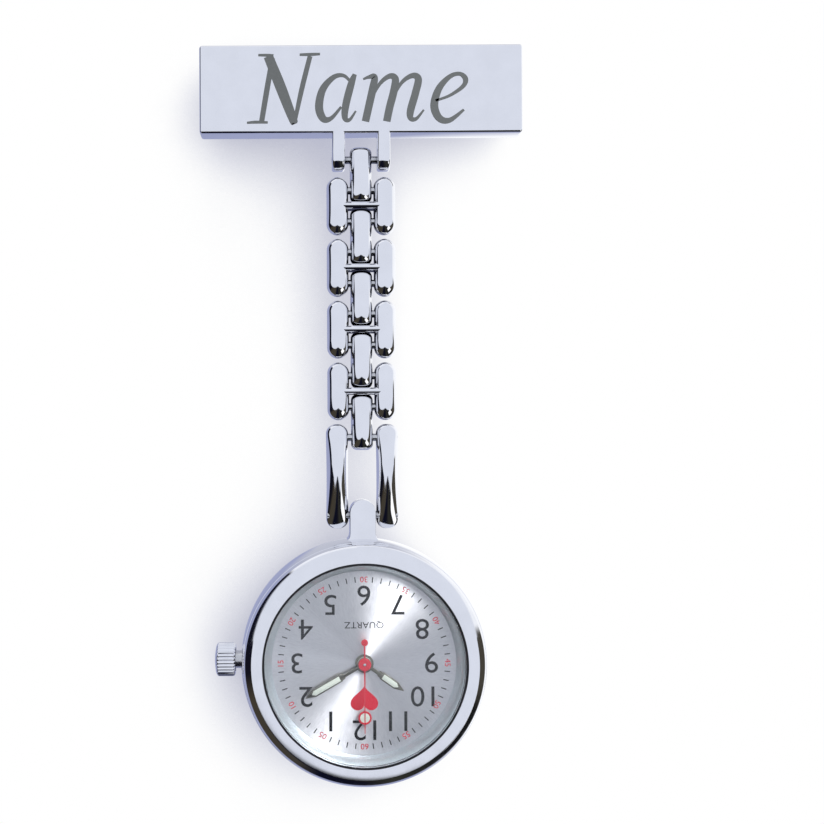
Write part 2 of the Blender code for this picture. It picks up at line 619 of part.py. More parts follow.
def make_case(watch):
    front = quarter(BEZEL_RADIUS, CASE_RADIUS, CASE_WAIST, CASE_FRONT, 3)
    back = quarter(BACK_RADIUS, CASE_RADIUS, -CASE_WAIST, CASE_BACK, 3)
    section = [(CASE_BORE, CASE_BACK), (CASE_BORE, CASE_FRONT)] + front[::-1] + back
    case = solid(turned(section, ROUND, loop=True))
    half = LUG_WIDTH / 2
    foot = CASE_RADIUS - LUG_SINK
    flare = half + LUG_FLARE
    neck = CASE_RADIUS + LUG_FLARE_RISE
    tip = LUG_DROP + LUG_ABOVE - half
    lug = [(-flare, foot), (flare, foot), (half, neck)] + arc((0, tip), half, 0, 180, 10) + [(-half, neck)]
    fuse(case, prism(lug, -LUG_DEPTH / 2, LUG_DEPTH / 2))
    cut(case, shift(pin_bore(2 * LUG_WIDTH), y=LUG_DROP))
    hole = turn(rod(TUBE_RADIUS + RUN, -CASE_RADIUS - MM, MM - CASE_BORE, SMALL_ROUND), 90, "Y")
    cut(case, shift(hole, z=STEM_HEIGHT))
    place(case, "case_middle", CHROME, parent=watch)

    gasket_out = CRYSTAL_RADIUS + SEAT + GASKET_WIDTH
    bezel_bore = gasket_out + SEAT
    seat = CASE_FRONT + SEAT
    bezel_front = seat + BEZEL_HEIGHT
    section = [(bezel_bore, seat)] + quarter(BEZEL_RADIUS - BEZEL_ROUND, BEZEL_RADIUS, seat, bezel_front, 4)
    section += [(bezel_bore + BEZEL_LIP, bezel_front), (bezel_bore, bezel_front - BEZEL_LIP / 2)]
    place(solid(turned(section, ROUND, loop=True)), "bezel", CHROME, parent=watch)

    edge_top = seat + CRYSTAL_THICKNESS - CRYSTAL_DOME
    crystal = turned([(0, seat), (CRYSTAL_RADIUS, seat), (CRYSTAL_RADIUS, edge_top - CRYSTAL_CHAMFER),
                      (CRYSTAL_RADIUS - CRYSTAL_CHAMFER, edge_top),
                      (CRYSTAL_RADIUS * 0.6, edge_top + CRYSTAL_DOME * 0.65), (0, edge_top + CRYSTAL_DOME)])
    place(solid(crystal), "crystal", GLASS, parent=watch)
    gasket = tube(gasket_out, CRYSTAL_RADIUS + SEAT, seat, edge_top - CRYSTAL_CHAMFER / 2)
    place(solid(gasket), "crystal_gasket", RUBBER, parent=watch)

    ring_low = DIAL_FRONT + SEAT
    ring_out = CASE_BORE - 2 * SEAT
    rehaut = turned([(CASE_BORE - FLANGE_WIDTH, ring_low), (ring_out, ring_low),
                     (ring_out, CASE_FRONT - SEAT), (CRYSTAL_RADIUS, CASE_FRONT - SEAT)], ROUND, loop=True)
    place(solid(rehaut), "flange_ring", CHROME, parent=watch)

    dial_back = DIAL_FRONT - DIAL_THICKNESS
    dial = tube(CASE_BORE - 4 * SEAT, DIAL_HOLE, dial_back, DIAL_FRONT)
    place(solid(dial), "dial", DIAL_SILVER, parent=watch)

    flange = CASE_BACK - 2 * SEAT
    back = flange - BACK_THICKNESS
    lip_out = CASE_BORE - 2 * SEAT
    groove_in = CASE_BORE + 2 * SEAT
    groove_out = groove_in + BACK_SEAL_WIDTH
    groove_floor = flange - BACK_SEAL_DEPTH
    cover = turned([(0, back), (BACK_RADIUS - BACK_SLOPE, back), (BACK_RADIUS, back + BACK_EDGE),
                    (BACK_RADIUS, flange), (groove_out, flange), (groove_out, groove_floor),
                    (groove_in, groove_floor), (groove_in, flange), (lip_out, flange),
                    (lip_out, flange + BACK_LIP_DEPTH), (lip_out - BACK_LIP_WIDTH, flange + BACK_LIP_DEPTH),
                    (lip_out - BACK_LIP_WIDTH, flange), (0, flange)])
    place(solid(cover), "case_back", CHROME, parent=watch)
    seal = tube(groove_out - SEAT, groove_in + SEAT, groove_floor + SEAT, CASE_BACK - SEAT)
    place(solid(seal), "back_gasket", RUBBER, parent=watch)

    holder = solid(tube(CASE_BORE - 4 * SEAT, PLATE_RADIUS + 2 * SEAT,
                        flange + BACK_LIP_DEPTH + SEAT, dial_back - SEAT))
    half_way = STEM_RADIUS + 4 * RUN
    cut(holder, box((-CASE_RADIUS, -half_way, STEM_HEIGHT - half_way),
                    (0, half_way, STEM_HEIGHT + half_way)))
    place(holder, "movement_holder", NYLON, parent=watch)


# ---------------------------------------------------------------- keyless work

TUBE_BORE = STEM_RADIUS + 2 * RUN
TUBE_RADIUS = TUBE_BORE + TUBE_WALL
CROWN_BORE = TUBE_RADIUS + CROWN_SEAL


def make_crown(stem_axis):
    """The stem's frame: its Z runs out along the stem from the dial's centre."""
    crown_low = CASE_RADIUS + CROWN_GAP
    crown_top = crown_low + CROWN_LENGTH
    recess_end = crown_top - CROWN_WALL
    tube_end = crown_low + TUBE_IN_CROWN
    stem_tube = tube(TUBE_RADIUS, TUBE_BORE, CASE_BORE + 2 * SEAT, tube_end, SMALL_ROUND)
    place(solid(stem_tube), "stem_tube", STEEL, parent=stem_axis)

    rings = []
    for share, height in ((1.0, crown_low), (1.0, crown_top - CROWN_SHOULDER),
                          (0.8, crown_top - CROWN_DOME), (0.45, crown_top)):
        flute = FLUTE_DEPTH if share == 1.0 else 0.0
        ring = []
        for i in range(2 * CROWN_FLUTES):
            radius = CROWN_RADIUS * share - flute * (i % 2)
            angle = math.pi * i / CROWN_FLUTES
            ring.append(Vector((radius * math.cos(angle), radius * math.sin(angle), height)))
        rings.append(ring)
    crown = solid(skin(rings))
    cut(crown, rod(CROWN_BORE, crown_low - MM, recess_end, SMALL_ROUND))
    stem_end = recess_end + STEM_IN_CROWN
    cut(crown, rod(STEM_RADIUS + RUN, recess_end - MM, stem_end, PIN_ROUND))
    place(crown, "crown", CHROME, parent=stem_axis)
    seal = tube(CROWN_BORE - SEAT, STEM_RADIUS + RUN, tube_end + 3 * SEAT, recess_end - SEAT, SMALL_ROUND)
    place(solid(seal), "crown_gasket", RUBBER, parent=stem_axis)

    stem = solid(rod(STEM_RADIUS, SQUARE_END, stem_end - SEAT))
    fuse(stem, square_rod(STEM_SQUARE, SQUARE_START, SQUARE_END + STEM_RADIUS))
    place(stem, "winding_stem", STEEL, parent=stem_axis)

    clutch = solid(toothed(CLUTCH_TEETH, MOTION_MODULE, CLUTCH_START, CLUTCH_END, 0.0))
    cut(clutch, square_rod(STEM_SQUARE + 2 * RUN, CLUTCH_START - MM, CLUTCH_END + MM))
    place(clutch, "clutch_pinion", STEEL, parent=stem_axis)


# ---------------------------------------------------------------- movement

def toothed(teeth, module, low, high, phase):
    """A prism with a point on each tooth's tip and each root; phase is the angle of one tip."""
    tip = module * (teeth / 2 + 1)
    root = module * (teeth / 2 - 1.25)
    outline = []
    for i in range(2 * teeth):
        radius = root if i % 2 else tip
        angle = phase + math.pi * i / teeth
        outline.append((radius * math.cos(angle), radius * math.sin(angle)))
    return prism(outline, low, high)


def wheel_blank(teeth, module, low, phase):
    return solid(toothed(teeth, module, low, low + WHEEL_THICKNESS, phase))


def pinion(teeth, module, low, phase):
    return toothed(teeth, module, low, low + PINION_LENGTH, phase)


def meshed_phase(phase, teeth, other_teeth, direction):
    """Phase of the other wheel, whose centre lies in the given direction, so that its gap takes a tooth."""
    ahead = (phase - direction) % (2 * math.pi / teeth)
    gap = direction + math.pi - ahead * teeth / other_teeth
    return gap + math.pi / other_teeth


def centre_distance(teeth, other_teeth, module):
    return (teeth + other_teeth) * module / 2


def beside(point, direction, distance):
    return (point[0] + distance * math.cos(direction), point[1] + distance * math.sin(direction))


# Directions from one axis to the next, as seen from the front
TO_THIRD = math.radians(100)
TO_STEP = math.radians(215)
TO_ROTOR = math.radians(240)
TO_MINUTE = math.radians(180)
TO_SETTING = math.radians(135)

CENTRE = (0.0, 0.0)
THIRD = beside(CENTRE, TO_THIRD, centre_distance(SECONDS_PINION, THIRD_WHEEL, THIRD_MODULE))
CENTRE_MODULE = 2 * math.hypot(*THIRD) / (THIRD_PINION + CENTRE_WHEEL)
STEP = beside(CENTRE, TO_STEP, centre_distance(STEP_PINION, SECONDS_WHEEL, TRAIN_MODULE))
ROTOR = beside(STEP, TO_ROTOR, centre_distance(ROTOR_PINION, STEP_WHEEL, STEP_MODULE))
MINUTE = beside(CENTRE, TO_MINUTE, centre_distance(CANNON_PINION, MINUTE_WHEEL, MOTION_MODULE))
HOUR_MODULE = 2 * math.hypot(*MINUTE) / (MINUTE_PINION + HOUR_WHEEL)
SETTING = beside(MINUTE, TO_SETTING, centre_distance(MINUTE_WHEEL, SETTING_WHEEL, MOTION_MODULE))

# Heights above the chain's plane, from the bridge up and from the plate down
BRIDGE_FRONT = PLATE_BACK - 2 * PINION_LENGTH - 3 * WHEEL_THICKNESS - 6 * SEAT
BRIDGE_BACK = BRIDGE_FRONT - BRIDGE_THICKNESS
STEP_PINION_Z = BRIDGE_FRONT + 2 * SEAT
SECONDS_WHEEL_Z = BRIDGE_FRONT + 4 * SEAT
SECONDS_PINION_Z = SECONDS_WHEEL_Z + WHEEL_THICKNESS + SEAT
ROTOR_PINION_Z = SECONDS_PINION_Z
THIRD_WHEEL_Z = SECONDS_PINION_Z + (PINION_LENGTH - WHEEL_THICKNESS) / 2
THIRD_PINION_Z = PLATE_BACK - 4 * SEAT - PINION_LENGTH
CENTRE_WHEEL_Z = THIRD_PINION_Z + (PINION_LENGTH - WHEEL_THICKNESS) / 2
POCKET_FLOOR = PLATE_FRONT - POCKET_DEPTH
MOTION_Z = POCKET_FLOOR + SEAT
HOUR_WHEEL_Z = MOTION_Z + WHEEL_THICKNESS + 2 * SEAT
HOUR_TUBE_BORE = CANNON_RADIUS + 2 * RUN
HOUR_TUBE_RADIUS = HOUR_TUBE_BORE + HOUR_TUBE_WALL


def make_train(watch):
    pivot_low = BRIDGE_BACK + SEAT
    pivot_high = PLATE_BACK + PIVOT_DEPTH

    def arbor(start, end):
        """A shaft between the pivot in the bridge and the pivot in the plate, thicker from start to end."""
        return turned([(PIVOT_RADIUS, pivot_low), (PIVOT_RADIUS, start), (ARBOR_RADIUS, start),
                       (ARBOR_RADIUS, end), (PIVOT_RADIUS, end), (PIVOT_RADIUS, pivot_high)], PIN_ROUND)

    shoulder_low = BRIDGE_FRONT + SEAT
    shoulder_high = PLATE_BACK - SEAT

    # seconds wheel, in the middle: its arbor runs through the centre wheel to the second hand
    second_top = SECOND_HAND_Z + HAND_THICKNESS
    shaft = turned([(PIVOT_RADIUS, pivot_low), (PIVOT_RADIUS, shoulder_low), (ARBOR_RADIUS, shoulder_low),
                    (ARBOR_RADIUS, second_top)], PIN_ROUND)
    seconds_phase = meshed_phase(TO_STEP + math.pi, STEP_PINION, SECONDS_WHEEL, TO_STEP + math.pi)
    wheel = wheel_blank(SECONDS_WHEEL, TRAIN_MODULE, SECONDS_WHEEL_Z, seconds_phase)
    fuse(wheel, pinion(SECONDS_PINION, THIRD_MODULE, SECONDS_PINION_Z, TO_THIRD), shaft)
    place(wheel, "seconds_wheel", NYLON, parent=watch)

    # third wheel
    third_phase = meshed_phase(TO_THIRD, SECONDS_PINION, THIRD_WHEEL, TO_THIRD)
    wheel = wheel_blank(THIRD_WHEEL, THIRD_MODULE, THIRD_WHEEL_Z, third_phase)
    fuse(wheel, pinion(THIRD_PINION, CENTRE_MODULE, THIRD_PINION_Z, TO_THIRD + math.pi),
         arbor(shoulder_low, shoulder_high))
    place(wheel, "third_wheel", NYLON, (*THIRD, 0), watch)

    # centre wheel with the cannon pinion, hollow for the seconds arbor
    minute_top = MINUTE_HAND_Z + HAND_THICKNESS
    centre_phase = meshed_phase(TO_THIRD + math.pi, THIRD_PINION, CENTRE_WHEEL, TO_THIRD + math.pi)
    wheel = wheel_blank(CENTRE_WHEEL, CENTRE_MODULE, CENTRE_WHEEL_Z, centre_phase)
    fuse(wheel, rod(CANNON_RADIUS, CENTRE_WHEEL_Z - 2 * SEAT, minute_top, SMALL_ROUND),
         toothed(CANNON_PINION, MOTION_MODULE, MOTION_Z, MOTION_Z + WHEEL_THICKNESS + SEAT, TO_MINUTE))
    cut(wheel, rod(ARBOR_RADIUS + RUN, CENTRE_WHEEL_Z - MM, minute_top + MM))
    place(wheel, "centre_wheel", BRASS, parent=watch)

    # intermediate wheel between the rotor and the seconds wheel
    wheel = wheel_blank(STEP_WHEEL, STEP_MODULE, THIRD_WHEEL_Z, TO_ROTOR)
    fuse(wheel, pinion(STEP_PINION, TRAIN_MODULE, STEP_PINION_Z, TO_STEP + math.pi),
         arbor(STEP_PINION_Z + SEAT, shoulder_high))
    place(wheel, "intermediate_wheel", NYLON, (*STEP, 0), watch)

    # rotor: a magnet with its pinion
    rotor_phase = meshed_phase(TO_ROTOR, STEP_WHEEL, ROTOR_PINION, TO_ROTOR)
    rotor = solid(pinion(ROTOR_PINION, STEP_MODULE, ROTOR_PINION_Z, rotor_phase))
    magnet_top = shoulder_high - SEAT
    fuse(rotor, rod(MAGNET_RADIUS, magnet_top - MAGNET_LENGTH, magnet_top, SMALL_ROUND),
         arbor(shoulder_low, shoulder_high))
    place(rotor, "rotor", STEEL, (*ROTOR, 0), watch)

    # motion work on the dial side
    minute_phase = meshed_phase(TO_MINUTE, CANNON_PINION, MINUTE_WHEEL, TO_MINUTE)
    wheel = wheel_blank(MINUTE_WHEEL, MOTION_MODULE, MOTION_Z, minute_phase)
    post_low = POCKET_FLOOR - PIVOT_DEPTH
    post_top = PLATE_FRONT - 2 * SEAT
    fuse(wheel, rod(ARBOR_RADIUS, post_low, post_top - SEAT),
         toothed(MINUTE_PINION, HOUR_MODULE, MOTION_Z + WHEEL_THICKNESS / 2, post_top, TO_MINUTE + math.pi))
    place(wheel, "minute_wheel", NYLON, (*MINUTE, 0), watch)

    hour_phase = meshed_phase(TO_MINUTE + math.pi, MINUTE_PINION, HOUR_WHEEL, TO_MINUTE + math.pi)
    hour_top = HOUR_HAND_Z + HAND_THICKNESS
    wheel = wheel_blank(HOUR_WHEEL, HOUR_MODULE, HOUR_WHEEL_Z, hour_phase)
    fuse(wheel, rod(HOUR_TUBE_RADIUS, HOUR_WHEEL_Z + WHEEL_THICKNESS / 2, hour_top, SMALL_ROUND))
    cut(wheel, rod(HOUR_TUBE_BORE, HOUR_WHEEL_Z - MM, hour_top + MM, SMALL_ROUND))
    place(wheel, "hour_wheel", NYLON, parent=watch)

    setting_phase = meshed_phase(minute_phase, MINUTE_WHEEL, SETTING_WHEEL, TO_SETTING)
    wheel = wheel_blank(SETTING_WHEEL, MOTION_MODULE, MOTION_Z, setting_phase)
    fuse(wheel, rod(ARBOR_RADIUS, post_low, MOTION_Z + 2 * WHEEL_THICKNESS))
    place(wheel, "setting_wheel", STEEL, (*SETTING, 0), watch)


def rod_cutter(radius, low, high):
    """Returns a function that makes the same upright rod at any (x, y)."""
    def at(x, y):
        return shift(rod(radius, low, high), x, y)
    return at


def make_plates(watch):
    plate = solid(rod(PLATE_RADIUS, PLATE_BACK, PLATE_FRONT, ROUND))
    pockets = ((CENTRE, HOUR_WHEEL, HOUR_MODULE), (MINUTE, MINUTE_WHEEL, MOTION_MODULE),
               (SETTING, SETTING_WHEEL, MOTION_MODULE))
    for (x, y), teeth, module in pockets:
        radius = module * (teeth / 2 + 1) + 2 * RUN
        cut(plate, shift(rod(radius, POCKET_FLOOR, PLATE_FRONT + MM, SMALL_ROUND), x, y))
    half = MOTION_MODULE * (CLUTCH_TEETH / 2 + 1) + 3 * RUN
    cut(plate, box((-PLATE_RADIUS - MM, -half, PLATE_BACK - MM),
                   (-SQUARE_START + 3 * RUN, half, PLATE_FRONT + MM)))
    cut(plate, rod(CANNON_RADIUS + 2 * RUN, PLATE_BACK - MM, PLATE_FRONT, PIN_ROUND))
    pivot_bore = rod_cutter(PIVOT_RADIUS + RUN, PLATE_BACK - MM, PLATE_BACK + PIVOT_DEPTH + SEAT)
    for x, y in (THIRD, STEP, ROTOR):
        cut(plate, pivot_bore(x, y))
    post_bore = rod_cutter(ARBOR_RADIUS + RUN, POCKET_FLOOR - PIVOT_DEPTH - SEAT, PLATE_FRONT)
    for x, y in (MINUTE, SETTING):
        cut(plate, post_bore(x, y))
    place(plate, "main_plate", BRASS, parent=watch)

    corners = [(x * MM, y * MM) for x, y in BRIDGE_CORNERS]
    bridge = solid(prism(corners, BRIDGE_BACK, BRIDGE_FRONT))
    foot = rod_cutter(BRIDGE_FOOT_RADIUS, BRIDGE_BACK + BRIDGE_THICKNESS / 2, PLATE_BACK - SEAT)
    for x, y in BRIDGE_FEET:
        fuse(bridge, foot(x, y))
    bridge_bore = rod_cutter(PIVOT_RADIUS + RUN, BRIDGE_BACK - MM, BRIDGE_FRONT + MM)
    for x, y in (CENTRE, THIRD, STEP, ROTOR):
        cut(bridge, bridge_bore(x, y))
    place(bridge, "train_bridge", BRASS, parent=watch)


def make_motor(watch):
    """Stator, coil, battery and electronics, all on the back of the main plate."""
    top = PLATE_BACK - SEAT
    inside = COIL_LENGTH / 2 + 2 * SEAT
    reach = inside + STATOR_ARM
    low = -COIL_OFFSET - STATOR_ARM / 2
    outline = [(-reach, low), (-inside, low), (-inside, -STATOR_BAR), (inside, -STATOR_BAR),
               (inside, low), (reach, low), (reach, STATOR_BAR), (-reach, STATOR_BAR)]
    stator = solid(shift(prism(outline, top - STATOR_THICKNESS, top), x=MOTOR_SLIDE))
    cut(stator, rod(MAGNET_RADIUS + MAGNET_GAP, top - MM, top + MM, SMALL_ROUND))
    motor = frame("motor_frame", (*ROTOR, 0), (0, 0, MOTOR_TURN), watch)
    place(stator, "stator", STEEL, parent=motor)

    coil_z = top - SEAT - COIL_RADIUS
    core_top = COIL_RADIUS - STATOR_THICKNESS
    coil = solid(turn(rod(COIL_RADIUS, -COIL_LENGTH / 2, COIL_LENGTH / 2, SMALL_ROUND), 90, "Y"))
    half = STATOR_ARM / 2
    fuse(coil, box((-reach + SEAT, -half, core_top - STATOR_THICKNESS), (reach - SEAT, half, core_top)))
    place(coil, "coil", COPPER, (MOTOR_SLIDE, -COIL_OFFSET, coil_z), motor)

    edge = BATTERY_STEP / 2
    terminal = BATTERY_RADIUS - 2 * BATTERY_STEP
    battery = turned([(0, -BATTERY_THICKNESS), (BATTERY_RADIUS - edge, -BATTERY_THICKNESS),
                      (BATTERY_RADIUS, -BATTERY_THICKNESS + edge), (BATTERY_RADIUS, -BATTERY_STEP),
                      (terminal, -BATTERY_STEP), (terminal, 0), (0, 0)])
    place(solid(battery), "battery", STEEL, (*BATTERY_CENTRE, top - SEAT), watch)
    strap_top = top - BATTERY_THICKNESS - 2 * SEAT
    strap = box((-STRAP_WIDTH / 2, 0, strap_top - STRAP_THICKNESS),
                (STRAP_WIDTH / 2, STRAP_LENGTH, strap_top))
    place(solid(strap), "battery_strap", STEEL, (*BATTERY_CENTRE, 0), watch, (0, 0, STRAP_TURN))

    corners = [(x * MM, y * MM) for x, y in BOARD_CORNERS]
    place(solid(prism(corners, top - BOARD_THICKNESS, top)), "circuit_board", BOARD, parent=watch)
    can_z = top - BOARD_THICKNESS - SEAT - QUARTZ_RADIUS
    can = solid(turn(rod(QUARTZ_RADIUS, -QUARTZ_LENGTH / 2, QUARTZ_LENGTH / 2), 90, "X"))
    rounded(can, QUARTZ_RADIUS / 4, 1)
    place(can, "quartz_can", STEEL, (*QUARTZ_CENTRE, can_z), watch, (0, 0, QUARTZ_TURN))


# ---------------------------------------------------------------- hands

def hand_outline(length, bore, neck, breadth, blade):
    """Outline of a hand that points along +X: a round collar, a narrow neck, a wider blade and a point."""
    hub = bore + HAND_COLLAR
    lean = math.degrees(math.asin(neck / hub))
    upper = [(blade[0], neck), (blade[0] + HAND_SHOULDER, breadth), (blade[1], breadth), (length, 0)]
    lower = [(x, -y) for x, y in reversed(upper[:-1])]
    return arc((0, 0), hub, 360 - lean, lean, 12) + upper + lower


def make_hands(watch):
    minutes = TIME_MINUTES / 60
    minute_turn = -90 - 360 * minutes
    hour_turn = -90 - 30 * (TIME_HOURS + minutes)

    outline = hand_outline(HOUR_LENGTH, HOUR_TUBE_RADIUS, HOUR_NECK, HOUR_BREADTH, HOUR_BLADE)
    hand = solid(prism(outline, HOUR_HAND_Z, HOUR_HAND_Z + HAND_THICKNESS))
    cut(hand, rod(HOUR_TUBE_RADIUS + SEAT / 2, HOUR_HAND_Z - MM, HOUR_HAND_Z + MM, SMALL_ROUND))
    place(hand, "hour_hand", GUNMETAL, parent=watch, rotation=(0, 0, hour_turn))

    outline = hand_outline(MINUTE_LENGTH, CANNON_RADIUS, MINUTE_NECK, MINUTE_BREADTH, MINUTE_BLADE)
    hand = solid(prism(outline, MINUTE_HAND_Z, MINUTE_HAND_Z + HAND_THICKNESS))
    cut(hand, rod(CANNON_RADIUS + SEAT / 2, MINUTE_HAND_Z - MM, MINUTE_HAND_Z + MM, SMALL_ROUND))
    place(hand, "minute_hand", GUNMETAL, parent=watch, rotation=(0, 0, minute_turn))

    half = SECOND_WIDTH / 2
    lean = math.degrees(math.asin(half / SECOND_HUB))
    outline = arc((0, 0), SECOND_HUB, 180 + lean, 360 - lean, 6)
    outline += [(SECOND_LENGTH, -half / 2), (SECOND_LENGTH, half / 2)]
    outline += arc((0, 0), SECOND_HUB, lean, 180 - lean, 6)
    outline += arc((SECOND_DISC - SECOND_TAIL, 0), SECOND_DISC, 15, 345, 10)
    hand = solid(prism(outline, SECOND_HAND_Z, SECOND_HAND_Z + HAND_THICKNESS))
    cut(hand, rod(ARBOR_RADIUS + SEAT / 2, SECOND_HAND_Z - MM, SECOND_HAND_Z + MM))
    place(hand, "second_hand", RED_PAINT, parent=watch, rotation=(0, 0, -90))


# ---------------------------------------------------------------- assembly

make_badge()
make_brooch()
lug_pin_z = make_chain()
case_hinge = frame("case_hinge", (0, CHAIN_Y, lug_pin_z))
watch_frame = frame("watch_frame", (0, 0, -LUG_DROP), (90, 0, 0), case_hinge)
make_case(watch_frame)
stem_frame = frame("stem_frame", (0, 0, STEM_HEIGHT), (0, -90, 0), watch_frame)
make_crown(stem_frame)
make_train(watch_frame)
make_plates(watch_frame)
make_motor(watch_frame)
make_hands(watch_frame)
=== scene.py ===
import math

import bmesh
import bpy
from mathutils import Matrix, Vector


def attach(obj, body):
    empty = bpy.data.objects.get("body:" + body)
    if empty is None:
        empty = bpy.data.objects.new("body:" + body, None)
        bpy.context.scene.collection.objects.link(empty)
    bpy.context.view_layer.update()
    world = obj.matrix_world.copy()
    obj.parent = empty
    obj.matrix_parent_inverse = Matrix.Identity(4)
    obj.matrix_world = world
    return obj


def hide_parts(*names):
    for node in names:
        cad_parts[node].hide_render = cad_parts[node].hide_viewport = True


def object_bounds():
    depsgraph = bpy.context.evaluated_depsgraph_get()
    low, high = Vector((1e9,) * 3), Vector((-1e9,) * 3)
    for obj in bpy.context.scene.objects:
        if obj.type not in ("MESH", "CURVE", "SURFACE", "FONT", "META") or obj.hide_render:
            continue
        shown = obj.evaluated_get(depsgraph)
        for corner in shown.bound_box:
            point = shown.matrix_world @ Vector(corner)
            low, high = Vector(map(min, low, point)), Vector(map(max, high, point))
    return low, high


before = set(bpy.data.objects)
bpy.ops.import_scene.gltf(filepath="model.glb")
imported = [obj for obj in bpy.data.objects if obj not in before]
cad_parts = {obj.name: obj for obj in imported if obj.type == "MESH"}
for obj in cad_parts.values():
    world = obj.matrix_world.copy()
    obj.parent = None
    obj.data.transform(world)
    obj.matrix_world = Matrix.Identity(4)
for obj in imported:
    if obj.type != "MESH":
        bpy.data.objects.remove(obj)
cad_low, cad_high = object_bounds()

# ---- The studio
# The watch hangs in front of a sheet of white paper, with the camera square to it. A pale tent lights it
# from all round, and the paper carries a painted soft shadow to the lower left of the pieces.
MM = 0.001
CAMERA_PLACE = Vector((-9.1, -124.5, -39.4)) * MM
CAMERA_LENS = 43.7
CAMERA_SHIFT = (0.152, 0.007)
CAMERA_ROLL = 0.28
PAPER_BEHIND = 2.6 * MM
FLOOR_BELOW = 12.0 * MM
PAPER_SIZE = 130.0 * MM
FLOOR_SIZE = 1.2

scene = bpy.context.scene
scene.view_settings.view_transform = "Standard"
camera = bpy.data.objects.new("camera", bpy.data.cameras.new("camera"))
camera.location = CAMERA_PLACE
camera.rotation_euler = (math.radians(90), math.radians(CAMERA_ROLL), 0)
camera.data.sensor_width = 36
camera.data.lens = CAMERA_LENS
camera.data.shift_x, camera.data.shift_y = CAMERA_SHIFT
camera.data.clip_start, camera.data.clip_end = 5 * MM, 5.0
scene.collection.objects.link(camera)
scene.camera = camera


def calc(tree, operation, *values):
    """A math node in the tree; each value is a number or another node's output."""
    node = tree.nodes.new("ShaderNodeMath")
    node.operation = operation
    for socket, value in zip(node.inputs, values):
        if isinstance(value, (int, float)):
            socket.default_value = value
        else:
            tree.links.new(value, socket)
    return node.outputs[0]


def ease(tree, value, low, high):
    """Rises smoothly from 0 to 1 as the value goes from low to high; either bound may be an output."""
    node = tree.nodes.new("ShaderNodeMapRange")
    node.interpolation_type = "SMOOTHSTEP"
    for name, source in (("Value", value), ("From Min", low), ("From Max", high)):
        if isinstance(source, (int, float)):
            node.inputs[name].default_value = source
        else:
            tree.links.new(source, node.inputs[name])
    return node.outputs[0]


def within(tree, value, edges):
    """1 between the two middle edges, easing to 0 at the outer two."""
    falling = calc(tree, "SUBTRACT", 1.0, ease(tree, value, edges[2], edges[3]))
    return calc(tree, "MULTIPLY", ease(tree, value, edges[0], edges[1]), falling)


def blend_colours(tree, share, first, second):
    """Mixes two colours; each is an output or a tuple, and share 1 gives the second."""
    node = tree.nodes.new("ShaderNodeMix")
    node.data_type = "RGBA"
    for index, source in ((0, share), (6, first), (7, second)):
        if isinstance(source, tuple):
            node.inputs[index].default_value = (*source, 1.0)
        elif isinstance(source, (int, float)):
            node.inputs[index].default_value = source
        else:
            tree.links.new(source, node.inputs[index])
    return node.outputs[2]


def colour_steps(tree, value, stops, interpolation="LINEAR"):
    """A colour ramp; stops are (position, (r, g, b)) pairs."""
    ramp = tree.nodes.new("ShaderNodeValToRGB")
    ramp.color_ramp.interpolation = interpolation
    while len(ramp.color_ramp.elements) < len(stops):
        ramp.color_ramp.elements.new(1.0)
    for element, (position, colour) in zip(ramp.color_ramp.elements, stops):
        element.position, element.color = position, (*colour, 1.0)
    tree.links.new(value, ramp.inputs[0])
    return ramp.outputs[0]


# What the polished metal mirrors: a pale tent in front, dark gaps round it, the white table behind.
TENT_WHITE = (0.76, 0.795, 0.885)
TABLE_WHITE = (1.05, 1.06, 1.08)
TABLE_PALE = (0.55, 0.57, 0.66)
TABLE_SHADE = (0.36, 0.39, 0.58)
AMBIENT = (0.50, 0.51, 0.58)
GAP_COLOURS = [(0.0, (0.95, 0.97, 1.03)), (0.115, (0.95, 0.97, 1.03)), (0.125, (0.004, 0.005, 0.016)),
               (0.30, (0.006, 0.006, 0.012)), (0.335, (0.055, 0.046, 0.032)), (0.43, (0.052, 0.046, 0.036)),
               (0.46, (0.003, 0.004, 0.014)), (0.51, (0.006, 0.006, 0.012)), (0.54, (0.030, 0.030, 0.024)),
               (0.60, (0.008, 0.008, 0.010)), (0.66, (0.010, 0.010, 0.010)), (0.69, (0.062, 0.056, 0.044)),
               (0.755, (0.058, 0.052, 0.040)), (0.765, (0.97, 0.99, 1.03)), (1.0, (0.95, 0.97, 1.03))]
GAP_LEFT, GAP_RIGHT, GAP_BELOW = 69.0, 77.0, 17.0  # the dark gap's inner edge, in degrees from straight ahead
GAP_OUTER, GAP_OUTER_BELOW = 95.0, 98.0
LAMP_ROUND = (0.592, 0.604, 0.665, 0.68)  # the small lamp at the lower right, as shares of a turn
LAMP_OUT = (37.0, 40.0, 62.0, 65.0)  # and in degrees from straight ahead
LAMP_WHITE = (1.25, 1.25, 1.25)

world = bpy.data.worlds.new("tent")
scene.world = world
world.use_nodes = True
sky = world.node_tree
sky.nodes.clear()
direction = sky.nodes.new("ShaderNodeSeparateXYZ")
sky.links.new(sky.nodes.new("ShaderNodeTexCoord").outputs["Generated"], direction.inputs[0])
east, north, up = direction.outputs
off_axis = calc(sky, "DEGREES", calc(sky, "ARCCOSINE", calc(sky, "MULTIPLY", north, -1.0)))
round_turn = calc(sky, "DIVIDE", calc(sky, "ARCTAN2", calc(sky, "MULTIPLY", east, -1.0), up), math.tau)
round_turn = calc(sky, "FRACT", calc(sky, "ADD", round_turn, 1.0))  # 0 up, 1/4 left, 1/2 down, 3/4 right
downward = calc(sky, "COSINE", calc(sky, "MULTIPLY", calc(sky, "SUBTRACT", round_turn, 0.5), math.tau))
downward = calc(sky, "POWER", calc(sky, "MAXIMUM", downward, 0.0), 0.8)
